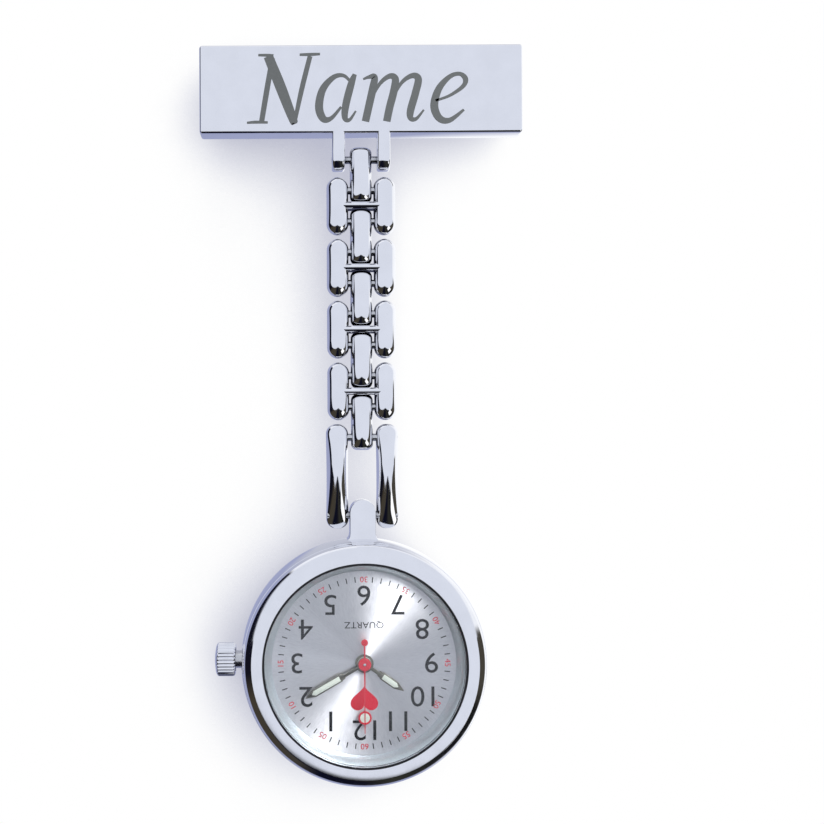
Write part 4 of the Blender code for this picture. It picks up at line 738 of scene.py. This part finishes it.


# Link and pin metal carry painted shade in their crevices.
link_chrome = plated("link_chrome", CHROME_TINT, 0.035, 0.000014, 0.0000004, crevice_shade=1.6 * MM)
link_steel = plated("pin_steel", STEEL_TINT, 0.12, 0.000003, 0.000001, crevice_shade=1.6 * MM)
centre_bar = outward(mesh_from("centre_bar",
                               *bar_body(LINK_WIDTH, CENTRE_SPACING, CENTRE_END, CENTRE_CORNER)))
side_bar = outward(mesh_from("side_bar", *bar_body(LINK_WIDTH, SIDE_SPACING, SIDE_END, LINK_WIDTH / 2)))
lean = math.degrees(math.asin(WEB_DEPTH / 2 / WEB_CLEAR))
web_edge = arc((0, 0), WEB_CLEAR, 270 - lean, 270 + lean, 16)
web_edge += arc((0, -SIDE_SPACING), WEB_CLEAR, 90 - lean, 90 + lean, 16)
(face_y, low_z), high_z = web_edge[-1], web_edge[0][1]
web_edge += [(face_y - WEB_BULGE * math.sin(math.pi * k / 12), low_z + (high_z - low_z) * k / 12)
             for k in range(1, 12)]

height = TOP_HINGE_Z
fitted("badge_pin", hinge_pin(BADGE_PIN, height), link_steel, "badge", "plain_steel", "badge_hinge_pin")
for number in range(1, 6):
    link = grown(bars_on_a_pin, centre_bar, Bars=1, Offset=0.0, Forward=CHAIN_Y * MM, Drop=height * MM,
                 Metal=link_chrome)
    fitted(f"centre_{number}_link", link, link_chrome, f"centre_{number}", "polished_chrome",
           f"centre_link_{number}")
    height -= CENTRE_SPACING
    if number == 5:
        break
    link = grown(bars_on_a_pin, side_bar, Bars=2, Offset=SIDE_OFFSET * MM, Forward=CHAIN_Y * MM,
                 Drop=height * MM, Metal=link_chrome)
    web = mesh_from("web", *slab(web_edge, -SIDE_OFFSET, SIDE_OFFSET),
                    Matrix.Translation((0, CHAIN_Y, height)) @ upright_x)
    fitted(f"side_{number}_link", joined("side", link, outward(web)), link_chrome, f"side_{number}",
           "polished_chrome", f"side_link_{number}")
    for place_name, pin_height in (("top", height), ("bottom", height - SIDE_SPACING)):
        fitted(f"side_{number}_{place_name}_pin", hinge_pin(SIDE_PIN, pin_height), link_steel,
               f"side_{number}", "plain_steel", f"side_pin_{number}_{place_name}")
    height -= SIDE_SPACING

# ---- End bars
# Two long bars that carry the watch, cast and chromed. Their faces swell forward above the middle and
# fall back towards the lug; a pin through each end ties them together.
END_SPACING, END_WIDTH, END_OFFSET, END_CORNER, END_WAIST = 9.4, 2.7, 3.02, 1.2, 0.06
END_PIN = 8.6
END_FRONT = [(0.0, 1.2), (0.12, 1.42), (0.25, 1.58), (0.36, 1.63), (0.45, 1.6), (0.55, 1.48), (0.65, 1.34),
             (0.75, 1.2), (0.85, 1.04), (0.93, 0.9), (1.0, 0.77), (1.18, 0.4)]

end_bar = outward(mesh_from("end_bar", *bar_body(END_WIDTH, END_SPACING, SIDE_END, END_CORNER, END_FRONT,
                                                  END_WAIST)))
for name, offset in (("left", -END_OFFSET), ("right", END_OFFSET)):
    bar = grown(bars_on_a_pin, end_bar, Bars=1, Offset=-offset * MM, Forward=CHAIN_Y * MM, Drop=height * MM,
                Metal=link_chrome)
    fitted(f"{name}_end_bar", bar, link_chrome, "end_bars", "polished_chrome", f"end_bar_{name}")
for place_name, pin_height in (("top", height), ("bottom", height - END_SPACING)):
    fitted(f"end_{place_name}_pin", hinge_pin(END_PIN, pin_height), link_steel, "end_bars", "plain_steel",
           f"end_pin_{place_name}")

# ---- Watch case
# A turned and chromed ring with a round-topped lug. Its side is straight at the middle and rolls in to
# the bezel in front and to the case back behind.
DIAL_CENTRE_Z = -68.72
CASE_RADIUS, CASE_BORE, CASE_FRONT, CASE_REAR, CASE_WAIST = 14.7, 12.7, 2.65, -2.77, 0.6
BEZEL_RADIUS, BACK_RADIUS = 14.45, 13.4
LUG_WIDTH, LUG_HALF_DEPTH, LUG_FLARE, LUG_TOP, LUG_EDGE = 3.1, 1.1, 0.31, 17.85, 0.1
LUG_ROOT, FLARE_START, FLARE_RISE = 14.0, 14.65, 0.85
ROUND = 224


def quarter(inner, outer, low, high, steps=14):
    """A quarter ellipse as (radius, height) pairs, upright at (outer, low) and level at (inner, high)."""
    tilts = [math.pi / 2 * i / steps for i in range(steps + 1)]
    return [(inner + (outer - inner) * math.cos(t), low + (high - low) * math.sin(t)) for t in tilts]


watch = Matrix.Translation((0, CHAIN_Y, DIAL_CENTRE_Z)) @ Matrix.Rotation(math.radians(90), 4, "X")
section = [(CASE_BORE, CASE_REAR), (CASE_BORE, CASE_FRONT)]
section += quarter(BEZEL_RADIUS, CASE_RADIUS, CASE_WAIST, CASE_FRONT)[::-1]
section += quarter(BACK_RADIUS, CASE_RADIUS, -CASE_WAIST, CASE_REAR)
ring = mesh_from("ring", *turned(section, ROUND, loop=True), watch)
half_lug = LUG_WIDTH / 2
lug_outline = [(-half_lug - LUG_FLARE, LUG_ROOT), (half_lug + LUG_FLARE, LUG_ROOT)]
lug_outline += [(half_lug + LUG_FLARE * (1 - math.sin(t)), FLARE_START + FLARE_RISE * (1 - math.cos(t)))
                for t in (math.pi / 2 * i / 6 for i in range(7))]
lug_outline += arc((0, LUG_TOP), half_lug, 0, 180, 28)
lug_outline += [(-x, y) for x, y in reversed(lug_outline[2:9])]
lug = mesh_from("lug", *slab(lug_outline, -LUG_HALF_DEPTH, LUG_HALF_DEPTH), watch)
case_ring = with_tool(outward(ring), bevelled(lug, LUG_EDGE, 3, 50), "UNION")
fitted("case_ring", case_ring, chrome, "case", "polished_chrome", "case_middle", crease=28)

# ---- Bezel
# A chromed ring pressed on to hold the crystal: a flat inner band, dished slightly inwards, then a
# rounded slope to the case. A dark line shows where it stands off the crystal's edge.
BEZEL_BORE, BEZEL_SEAT, BEZEL_FRONT = 12.12, 2.70, 3.85
BAND_INNER, BAND_OUTER = 12.32, 13.40
BEZEL_SLOPE = [(13.40, 4), (13.44, 30), (13.50, 34), (13.75, 36), (14.0, 38), (14.12, 41), (14.20, 50),
               (14.32, 63), (14.45, 80)]  # radius, and how steep the surface is there in degrees

height_now = BEZEL_FRONT - 0.003
profile = [(BEZEL_BORE, BEZEL_SEAT), (BEZEL_BORE, BEZEL_FRONT - 0.09),
           (BEZEL_BORE + 0.04, BEZEL_FRONT - 0.055), (BAND_INNER, BEZEL_FRONT - 0.045),
           (BAND_OUTER - 0.1, BEZEL_FRONT), (BAND_OUTER, height_now)]
for (r0, s0), (r1, s1) in zip(BEZEL_SLOPE, BEZEL_SLOPE[1:]):
    for k in range(1, 5):
        steep = math.radians(s0 + (s1 - s0) * (k - 0.5) / 4)
        height_now -= (r1 - r0) / 4 * math.tan(steep)
        profile.append((r0 + (r1 - r0) * k / 4, height_now))
profile.append((BEZEL_RADIUS, BEZEL_SEAT))
bezel = mesh_from("bezel", *turned(profile, ROUND, loop=True), watch)
fitted("bezel_ring", bezel, flat_chrome, "case", "polished_chrome", "bezel", crease=28)

# ---- Crystal and its gasket
# A mineral glass, slightly domed, with a polished chamfer, held in a thin black rubber ring.
GLASS_RADIUS, GLASS_LOW, GLASS_EDGE, GLASS_TOP, GLASS_CHAMFER = 11.88, 2.70, 3.70, 3.85, 0.06
GASKET_INNER, GASKET_OUTER, GASKET_TOP = 11.90, 12.10, 3.66

profile = [(0, GLASS_LOW), (GLASS_RADIUS - 0.05, GLASS_LOW), (GLASS_RADIUS, GLASS_LOW + 0.05),
           (GLASS_RADIUS, GLASS_EDGE - GLASS_CHAMFER), (GLASS_RADIUS - GLASS_CHAMFER, GLASS_EDGE)]
for k in range(1, 13):
    r = (GLASS_RADIUS - GLASS_CHAMFER) * (1 - k / 12)
    profile.append((r, GLASS_TOP - (GLASS_TOP - GLASS_EDGE) * (r / (GLASS_RADIUS - GLASS_CHAMFER)) ** 2))
glass, tree, shader, place = new_finish("mineral_glass")
shader.inputs["Transmission Weight"].default_value = 1.0
shader.inputs["IOR"].default_value = 1.47
smudges = grain(tree, place, 300, detail=3)
tree.links.new(spread(tree, smudges, 0.0, 0.006), shader.inputs["Roughness"])
tree.links.new(blend_colours(tree, spread(tree, smudges, 0, 1), (0.985, 0.995, 0.993), (0.975, 0.985, 0.985)),
               shader.inputs["Base Color"])
see_through = tree.nodes.new("ShaderNodeBsdfTransparent")
mix = tree.nodes.new("ShaderNodeMixShader")
tree.links.new(tree.nodes.new("ShaderNodeLightPath").outputs["Is Shadow Ray"], mix.inputs[0])
tree.links.new(shader.outputs[0], mix.inputs[1])
tree.links.new(see_through.outputs[0], mix.inputs[2])
tree.links.new(mix.outputs[0], tree.nodes["Material Output"].inputs["Surface"])
fitted("watch_glass", mesh_from("glass", *turned(profile, ROUND), watch), glass, "case", "mineral_glass",
       "crystal", crease=20)

rubber = grained("black_rubber", (0.006, 0.006, 0.008), (0.02, 0.02, 0.024), 14000, (0.5, 0.7), 0.000006)
section = [(GASKET_INNER, GLASS_LOW), (GASKET_INNER, GASKET_TOP - 0.03), (GASKET_INNER + 0.03, GASKET_TOP),
           (GASKET_OUTER - 0.03, GASKET_TOP), (GASKET_OUTER, GASKET_TOP - 0.03), (GASKET_OUTER, GLASS_LOW)]
fitted("glass_gasket", mesh_from("gasket", *turned(section, ROUND, loop=True), watch), rubber, "case",
       "black_rubber", "crystal_gasket")

# ---- Sloped ring round the dial
# A pressed ring between the dial and the crystal, satin silver, that leans outwards.
RING_INNER, RING_LOW, RING_OUTER, RING_TOP, RING_LIP = 11.0, 1.50, 12.6, 2.60, 11.88

satin = grained("satin_silver_ring", (0.74, 0.81, 0.835), (0.68, 0.755, 0.785), 5200, (0.34, 0.44), 0.0000015,
                stretch=(1, 0.2, 1), metallic=1.0)
section = [(RING_INNER, RING_LOW), (RING_OUTER, RING_LOW), (RING_OUTER, RING_TOP), (RING_LIP, RING_TOP),
           (RING_LIP - 0.06, RING_TOP - 0.03), (RING_INNER + 0.03, RING_LOW + 0.12)]
fitted("dial_ring", mesh_from("dial_ring", *turned(section, ROUND, loop=True), watch), satin, "case",
       "polished_chrome", "flange_ring")

# ---- Dial
# A brass disc, brushed outwards from the centre and silvered, so light stands on it in two opposite fans;
# broad lighter and darker wedges are also painted into its colour.
DIAL_RADIUS, DIAL_HOLE, DIAL_LOW, DIAL_TOP = 12.5, 1.0, 1.05, 1.45
DIAL_LIGHT, DIAL_DARK = (0.80, 0.80, 0.83), (0.60, 0.60, 0.635)

silvered, tree, shader, place = new_finish("brushed_silver_dial")
shader.inputs["Metallic"].default_value = 1.0
shader.inputs["Anisotropic"].default_value = 0.82
centred = tree.nodes.new("ShaderNodeMapping")
centred.inputs["Location"].default_value = (0, -CHAIN_Y * MM, -DIAL_CENTRE_Z * MM)
tree.links.new(place, centred.inputs["Vector"])
parts = tree.nodes.new("ShaderNodeSeparateXYZ")
tree.links.new(centred.outputs[0], parts.inputs[0])
bearing = calc(tree, "ARCTAN2", parts.outputs["Z"], parts.outputs["X"])
outwards = calc(tree, "SQRT", calc(tree, "ADD", calc(tree, "POWER", parts.outputs["X"], 2.0),
                                   calc(tree, "POWER", parts.outputs["Z"], 2.0)))
circle = tree.nodes.new("ShaderNodeCombineXYZ")  # the bearing as a point on a circle, so the seam closes
tree.links.new(calc(tree, "COSINE", bearing), circle.inputs["X"])
tree.links.new(calc(tree, "SINE", bearing), circle.inputs["Y"])
tree.links.new(calc(tree, "MULTIPLY", outwards, 22.0), circle.inputs["Z"])
brushing = grain(tree, circle.outputs[0], 75, detail=4)
# Painted sheen: a slow noise round the dial lightens and darkens broad wedges of its colour, standing in for
# the fans of light; the fine brushing beside it is the real grain.
painted_sheen_fans = grain(tree, circle.outputs[0], 2.4, (1, 1, 0.2), 1)
shade = calc(tree, "ADD", calc(tree, "MULTIPLY", spread(tree, brushing, 0, 1), 0.55),
             calc(tree, "MULTIPLY", spread(tree, painted_sheen_fans, 0, 1), 0.45))
tree.links.new(blend_colours(tree, shade, DIAL_DARK, DIAL_LIGHT), shader.inputs["Base Color"])
tree.links.new(spread(tree, brushing, 0.34, 0.44), shader.inputs["Roughness"])
dented(tree, shader, (brushing, 0.0000035))
along = tree.nodes.new("ShaderNodeCombineXYZ")  # straight out from the middle
tree.links.new(parts.outputs["X"], along.inputs["X"])
tree.links.new(parts.outputs["Z"], along.inputs["Z"])
unit = tree.nodes.new("ShaderNodeVectorMath")
unit.operation = "NORMALIZE"
tree.links.new(along.outputs[0], unit.inputs[0])
tree.links.new(unit.outputs[0], shader.inputs["Tangent"])
section = [(DIAL_HOLE, DIAL_LOW), (DIAL_RADIUS, DIAL_LOW), (DIAL_RADIUS, DIAL_TOP - 0.03),
           (DIAL_RADIUS - 0.03, DIAL_TOP), (DIAL_HOLE + 0.03, DIAL_TOP), (DIAL_HOLE, DIAL_TOP - 0.03)]
dial = fitted("dial_disc", mesh_from("dial", *turned(section, ROUND, loop=True), watch), silvered, "case",
              "silver_dial", "dial")
brushed_only.objects.link(dial)

# ---- Dial printing
# Pad printed in black and red: hour numerals, a minute track with a red number at every fifth place, a
# line of small capitals and a plain red heart. All stands upside down, to be read by the wearer.
INK_HEIGHT = 0.012
HOUR_SIZE, HOUR_RADIUS, HOUR_THIN, HOUR_WIDEN = 3.45, 8.02, 0.003, 1.06
MINUTE_SIZE, MINUTE_RADIUS = 0.98, 9.95
TICK_LENGTH, TICK_WIDTH = 0.66, 0.12
WORD_SIZE, WORD_PLACE, WORD_WIDEN = 1.08, 4.58, 1.08
HEART_PLACE, HEART_SIZE = 4.4, 1.75
BLACK_INK, RED_INK = (0.006, 0.006, 0.008), (0.60, 0.006, 0.03)


def ink(name, colour):
    """Pad-printing ink: matt, and faintly uneven over its few hundredths of a millimetre."""
    lighter = tuple(part * 1.2 + 0.004 for part in colour)
    return grained(name, colour, lighter, 16000, (0.45, 0.6), 0.000002,
                   settings=[("Specular IOR Level", 0.08)])


def lettering(text, size, thin=0.0, widen=1.0):
    """Small flat text as a mesh in millimetres, its middle at the origin."""
    curve = bpy.data.curves.new("text", "FONT")
    curve.body, curve.size, curve.offset, curve.resolution_u = text, size, thin, 4
    curve.extrude = INK_HEIGHT
    piece = bpy.data.objects.new("text", curve)
    scene.collection.objects.link(piece)
    bpy.context.view_layer.update()
    mesh = bpy.data.meshes.new_from_object(piece.evaluated_get(bpy.context.evaluated_depsgraph_get()))
    bpy.data.objects.remove(piece)
    xs, ys = [v.co.x for v in mesh.vertices], [v.co.y for v in mesh.vertices]
    mesh.transform(Matrix.Translation((-(min(xs) + max(xs)) / 2, -(min(ys) + max(ys)) / 2, 0)))
    mesh.transform(Matrix.Diagonal((widen, 1, 1, 1)))
    return mesh


def printed(mesh, radius, bearing_degrees, turn):
    """Puts flat print on the dial at a radius and bearing, turned by so many degrees."""
    t = math.radians(bearing_degrees)
    spot = Matrix.Translation((radius * math.cos(t), radius * math.sin(t), DIAL_TOP))
    to_metres = Matrix.Diagonal((MM, MM, MM, 1))
    mesh.transform(to_metres @ watch @ spot @ Matrix.Rotation(math.radians(turn), 4, "Z"))
    return mesh


def ticks_tree():
    """Small bars round a circle, leaving out every fifth."""
    tree, given, out = nodes_for("minute_track", "Track", Places="Int", Radius="Float", Length="Float",
                                 Width="Float", Height="Float", Ink="Material")
    places = tree.nodes.new("GeometryNodeMeshCircle")
    tree.links.new(given.outputs["Places"], places.inputs["Vertices"])
    tree.links.new(given.outputs["Radius"], places.inputs["Radius"])
    tick, size = tree.nodes.new("GeometryNodeMeshCube"), tree.nodes.new("ShaderNodeCombineXYZ")
    for name, axis in (("Length", "X"), ("Width", "Y"), ("Height", "Z")):
        tree.links.new(given.outputs[name], size.inputs[axis])
    tree.links.new(size.outputs[0], tick.inputs["Size"])
    index = tree.nodes.new("GeometryNodeInputIndex").outputs[0]
    angle = tree.nodes.new("ShaderNodeCombineXYZ")
    tree.links.new(calc(tree, "DIVIDE", calc(tree, "MULTIPLY", index, math.tau), given.outputs["Places"]),
                   angle.inputs["Z"])
    put = set_out(tree, places.outputs[0], tick.outputs[0], given.outputs["Ink"], out)
    tree.links.new(calc(tree, "GREATER_THAN", calc(tree, "MODULO", index, 5.0), 0.5), put.inputs["Selection"])
    tree.links.new(angle.outputs[0], put.inputs["Rotation"])
    return tree


black_ink, red_ink = ink("black_ink", BLACK_INK), ink("red_ink", RED_INK)
hours, minutes = [], []
for hour in range(1, 13):
    numeral = lettering(str(hour), HOUR_SIZE, HOUR_THIN, HOUR_WIDEN)
    hours.append(printed(numeral, HOUR_RADIUS, -90 - 30 * hour, 180))
    minute = 5 * hour
    way = -90 - 6 * minute
    outward_top = minute <= 15 or minute >= 45
    minutes.append(printed(lettering(f"{minute:02d}", MINUTE_SIZE), MINUTE_RADIUS, way,
                           way - 90 if outward_top else way + 90))
fitted("hour_numerals", joined("hours", *hours), black_ink, "case", "dark_hand_metal")
fitted("minute_numerals", joined("minutes", *minutes), red_ink, "case", "red_hand_paint")
track = grown(ticks_tree(), bpy.data.meshes.new("track"), Places=60, Radius=MINUTE_RADIUS, Length=TICK_LENGTH,
              Width=TICK_WIDTH, Height=2 * INK_HEIGHT, Ink=black_ink)
fitted("minute_track", printed(track, 0, 0, 0), black_ink, "case", "dark_hand_metal")
word = printed(lettering("QUARTZ", WORD_SIZE, 0.0, WORD_WIDEN), WORD_PLACE, 90, 180)
fitted("dial_word", word, black_ink, "case", "dark_hand_metal")
heart_outline = []
for k in range(64):
    t = math.tau * k / 64
    rise = 13 * math.cos(t) - 5 * math.cos(2 * t) - 2 * math.cos(3 * t) - math.cos(4 * t)
    heart_outline.append((16 * math.sin(t) ** 3 / 17 * HEART_SIZE, rise / 17 * HEART_SIZE))
heart_points, heart_faces = slab(heart_outline, -INK_HEIGHT, INK_HEIGHT)
heart = bpy.data.meshes.new("heart")
heart.from_pydata(heart_points, [], heart_faces)
fitted("red_heart", printed(heart, HEART_PLACE, -90, 180), red_ink, "case", "red_hand_paint")

# ---- Hands
# Stamped and blackened steel, with pale luminous paste in the hour and minute hands; the second hand is
# enamelled red, with a ring near its tip and a disc on its tail.
HOUR_LEVEL, MINUTE_LEVEL, SECOND_LEVEL, HAND_THICK = 1.62, 1.92, 2.22, 0.14
HOUR_HAND = {"length": 5.7, "bore": 0.84, "collar": 1.1, "neck": 0.2, "breadth": 0.46,
             "blade": (2.05, 4.55)}
MINUTE_HAND = {"length": 8.1, "bore": 0.47, "collar": 0.78, "neck": 0.18, "breadth": 0.45,
               "blade": (2.75, 6.9)}
HOUR_TURN, MINUTE_TURN, SECOND_TURN = -35, -150, -90
HAND_EDGE, LUME_EDGE, LUME_HEIGHT, LUME_ROUND = 0.035, 0.15, 0.03, 0.02
SECOND_LENGTH, SECOND_TAIL, SECOND_HUB, SECOND_DISC, SECOND_WIDTH = 8.2, 3.0, 0.76, 0.40, 0.17
RING_PLACE, RING_OUTER_R, RING_INNER_R = 6.3, 0.8, 0.56
SECOND_BORE, ARBOR_RADIUS = 0.18, 0.17

gunmetal = plated("gunmetal", (0.20, 0.195, 0.165), 0.22, 0.000001, 0.0000008, 0.6)
red_enamel = grained("red_enamel", (0.66, 0.006, 0.03), (0.56, 0.004, 0.025), 7000, (0.3, 0.4), 0.000002,
                     settings=[("Coat Weight", 0.4)])
lume = grained("luminous_paste", (0.80, 0.85, 0.76), (0.70, 0.76, 0.67), 12000, (0.6, 0.8), 0.000008, 3)


def on_dial(turn):
    return watch @ Matrix.Rotation(math.radians(turn), 4, "Z")


def shaft_hole(radius, low):
    return mesh_from("hole", *turned(rod_profile(radius, low - 0.5, low + 0.5, 0.01), 48), watch)


def blade_hand(name, level, turn, body, node, length, bore, collar, neck, breadth, blade):
    """A stamped hand with a round collar, a narrow neck, square shoulders and a long point."""
    lean = math.degrees(math.asin(neck / collar))
    upper = [(blade[0], neck), (blade[0] + 0.04, breadth * 0.72), (blade[0] + 0.42, breadth * 0.78),
             (blade[0] + 0.48, breadth), (blade[1], breadth), (length, 0.03)]
    outline = arc((0, 0), collar, 360 - lean, lean, 40) + upper + [(x, -y) for x, y in reversed(upper)]
    metal = mesh_from("hand", *slab(outline, level, level + HAND_THICK), on_dial(turn))
    metal = with_tool(bevelled(metal, HAND_EDGE, 2, 60), shaft_hole(bore, level), "DIFFERENCE")
    fitted(f"{name}_hand_metal", metal, gunmetal, body, "dark_hand_metal", node, crease=30)
    inner = breadth - LUME_EDGE
    slim = LUME_EDGE / breadth * (length - blade[1])
    paste = [(blade[0] + 0.65, -inner), (blade[1] - 0.05, -inner), (length - 2.2 * slim, -0.02),
             (length - 2.2 * slim, 0.02), (blade[1] - 0.05, inner), (blade[0] + 0.65, inner)]
    top = level + HAND_THICK
    fill = mesh_from("fill", *slab(paste, top - 0.05, top + LUME_HEIGHT), on_dial(turn))
    fitted(f"{name}_hand_lume", bevelled(fill, LUME_ROUND, 2), lume, body, "silver_dial", crease=50)


blade_hand("hour", HOUR_LEVEL, HOUR_TURN, "hours", "hour_hand", **HOUR_HAND)
blade_hand("minute", MINUTE_LEVEL, MINUTE_TURN, "minutes", "minute_hand", **MINUTE_HAND)

half_rod = SECOND_WIDTH / 2
rod_top = SECOND_LEVEL + HAND_THICK
past_ring = RING_PLACE + RING_INNER_R + 0.1
rod_outline = [(-SECOND_TAIL, -half_rod), (past_ring, -half_rod * 0.8), (SECOND_LENGTH, -half_rod * 0.35),
               (SECOND_LENGTH, half_rod * 0.35), (past_ring, half_rod * 0.8), (-SECOND_TAIL, half_rod)]
rod = mesh_from("rod", *slab(rod_outline, SECOND_LEVEL, rod_top - 0.02), on_dial(SECOND_TURN))
section = [(SECOND_BORE, SECOND_LEVEL), (SECOND_HUB, SECOND_LEVEL), (SECOND_HUB, rod_top - 0.05),
           (SECOND_HUB - 0.07, rod_top), (SECOND_BORE, rod_top)]
hub = mesh_from("hub", *turned(section, 56, loop=True), watch)
disc = mesh_from("disc", *turned(rod_profile(SECOND_DISC, SECOND_LEVEL, rod_top, 0.04), 40),
                 on_dial(SECOND_TURN) @ Matrix.Translation((-SECOND_TAIL + SECOND_DISC, 0, 0)))
at_ring = on_dial(SECOND_TURN) @ Matrix.Translation((RING_PLACE, 0, 0))
section = [(RING_INNER_R, SECOND_LEVEL), (RING_OUTER_R, SECOND_LEVEL), (RING_OUTER_R, rod_top - 0.04),
           (RING_OUTER_R - 0.05, rod_top), (RING_INNER_R + 0.05, rod_top), (RING_INNER_R, rod_top - 0.04)]
ring = mesh_from("ring", *turned(section, 48, loop=True), at_ring)
pieces = [outward(mesh) for mesh in (rod, hub, disc, ring)]
fitted("second_hand_metal", joined("second", *pieces), red_enamel, "seconds", "red_hand_paint", "second_hand")
fill_profile = rod_profile(RING_INNER_R + 0.03, SECOND_LEVEL + 0.02, rod_top - 0.03, 0.01)
fill = mesh_from("fill", *turned(fill_profile, 40), at_ring)
fitted("second_hand_lume", fill, lume, "seconds", "silver_dial")
arbor_profile = rod_profile(ARBOR_RADIUS, SECOND_LEVEL + 0.02, rod_top + 0.05, 0.03)
arbor = mesh_from("arbor", *turned(arbor_profile, 24), watch)
fitted("second_arbor_tip", arbor, steel, "seconds", "plain_steel")

# ---- Crown, tube and stem
# The crown is turned, fluted for the fingers and chromed; it slides on a steel tube fixed in the case.
CROWN_START, CROWN_END, CROWN_RADIUS, CROWN_SHOULDER = 15.45, 17.95, 2.0, 0.55
CROWN_FLUTES, FLUTE_DEPTH, CROWN_BORE, CROWN_WALL = 28, 0.15, 1.45, 0.8
STEM_LEVEL = -0.45
TUBE_OUTER, TUBE_INNER, TUBE_START, TUBE_END = 1.05, 0.6, 12.8, 16.7

stem_line = watch @ Matrix.Translation((0, 0, STEM_LEVEL)) @ Matrix.Rotation(math.radians(-90), 4, "Y")
FLUTE_POINTS = CROWN_FLUTES * 8


def fluted_ring(radius, depth, level):
    ring = []
    for i in range(FLUTE_POINTS):
        t = math.tau * i / FLUTE_POINTS
        wave = 0.5 - 0.5 * math.cos(CROWN_FLUTES * t)
        r = radius - depth * wave ** 2
        ring.append((r * math.cos(t), r * math.sin(t), level))
    return ring


shoulder = CROWN_END - CROWN_SHOULDER
outer_rings = [(CROWN_BORE, 0, CROWN_END - CROWN_WALL), (CROWN_BORE, 0, CROWN_START),
               (CROWN_RADIUS - 0.22, 0, CROWN_START), (CROWN_RADIUS - 0.05, FLUTE_DEPTH, CROWN_START + 0.14),
               (CROWN_RADIUS, FLUTE_DEPTH, CROWN_START + 0.3), (CROWN_RADIUS, FLUTE_DEPTH, shoulder)]
for k in range(1, 8):
    t = math.pi / 2 * k / 8
    outer_rings.append((CROWN_RADIUS * (0.62 + 0.38 * math.cos(t)), FLUTE_DEPTH * max(0.0, 1 - k / 4),
                        shoulder + (CROWN_SHOULDER - 0.12) * math.sin(t)))
outer_rings += [(CROWN_RADIUS * share, 0, CROWN_END - drop)
                for share, drop in ((0.5, 0.07), (0.3, 0.02), (0.12, 0))]
rings = [[(0, 0, CROWN_END - CROWN_WALL)]] + [fluted_ring(*sizes) for sizes in outer_rings]
crown = mesh_from("crown", *lofted(rings + [[(0, 0, CROWN_END)]]), stem_line)
fitted("fluted_crown", crown, chrome, "stem", "polished_chrome", "crown", crease=40)
section = [(TUBE_INNER, TUBE_START), (TUBE_OUTER, TUBE_START), (TUBE_OUTER, TUBE_END - 0.05),
           (TUBE_OUTER - 0.05, TUBE_END), (TUBE_INNER, TUBE_END)]
tube = mesh_from("tube", *turned(section, 56, loop=True), stem_line)
fitted("crown_tube", tube, steel, "case", "plain_steel", "stem_tube")

# ---- Case back
# A turned cover that presses in from behind: brushed in the middle, polished at its sloping rim, with a
# shallow lip for a case knife.
BACK_FLANGE, BACK_REAR, BACK_FLAT, BACK_EDGE_UP = -2.87, -3.67, 12.4, 0.35
SPIGOT_INNER, SPIGOT_OUTER, SPIGOT_RISE = 12.0, 12.6, 0.6
GROOVE_RADIUS, GROOVE_HALF, GROOVE = 10.9, 0.12, 0.08
NOTCH_HALF, NOTCH_FROM, NOTCH_TO, NOTCH_DEPTH = 1.6, -13.6, -13.0, 0.45

brushed = grained("brushed_case_back", (0.74, 0.745, 0.77), (0.62, 0.625, 0.65), 3000, (0.22, 0.36), 0.000003,
                  3, (0.03, 1, 1), 1.0, [("Anisotropic", 0.5)])
profile = [(0, BACK_FLANGE), (SPIGOT_INNER, BACK_FLANGE), (SPIGOT_INNER + 0.1, BACK_FLANGE + SPIGOT_RISE),
           (SPIGOT_OUTER, BACK_FLANGE + SPIGOT_RISE), (SPIGOT_OUTER, BACK_FLANGE), (BACK_RADIUS, BACK_FLANGE),
           (BACK_RADIUS, BACK_REAR + BACK_EDGE_UP)]
profile += quarter(BACK_FLAT, BACK_RADIUS, BACK_REAR + BACK_EDGE_UP, BACK_REAR, 8)[1:]
profile += [(GROOVE_RADIUS + GROOVE_HALF, BACK_REAR), (GROOVE_RADIUS, BACK_REAR + GROOVE),
            (GROOVE_RADIUS - GROOVE_HALF, BACK_REAR), (0, BACK_REAR)]
cover = outward(mesh_from("cover", *turned(profile, ROUND), watch))
notch = mesh_from("notch", *block((-NOTCH_HALF, NOTCH_FROM, BACK_REAR - 0.2),
                                  (NOTCH_HALF, NOTCH_TO, BACK_REAR + NOTCH_DEPTH)), watch)
cover = with_tool(cover, notch, "DIFFERENCE")
fitted("back_cover", cover, brushed, "case", "polished_chrome", "case_back", crease=30)

# ---- Movement
# The quartz movement's plates, wheels, coil, cell and board keep their working shapes and get the
# finishes of the real ones: brass, nylon, lacquered copper wire, nickelled steel and green board.

INNER_FINISHES = {
    "plain_steel": steel,
    "black_rubber": rubber,
    "wheel_brass": grained("wheel_brass", (0.72, 0.52, 0.22), (0.60, 0.42, 0.16), 2600, (0.2, 0.34),
                           0.000002, 3, (0.1, 1, 1), 1.0),
    "white_nylon": grained("white_nylon", (0.78, 0.78, 0.74), (0.70, 0.70, 0.66), 1800, (0.42, 0.56),
                           0.000004, 3),
    "coil_copper": grained("coil_copper", (0.62, 0.24, 0.11), (0.42, 0.14, 0.06), 9000, (0.24, 0.38),
                           0.00001, 3, (0.05, 1, 1), 1.0),
    "circuit_green": grained("circuit_green", (0.02, 0.16, 0.07), (0.015, 0.11, 0.05), 2200, (0.3, 0.44),
                             0.000005, 3),
}
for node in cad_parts.values():
    for index, material in enumerate(node.data.materials):
        kind = material.name.split(".")[0] if material else ""
        if kind in INNER_FINISHES:
            node.data.materials[index] = INNER_FINISHES[kind]
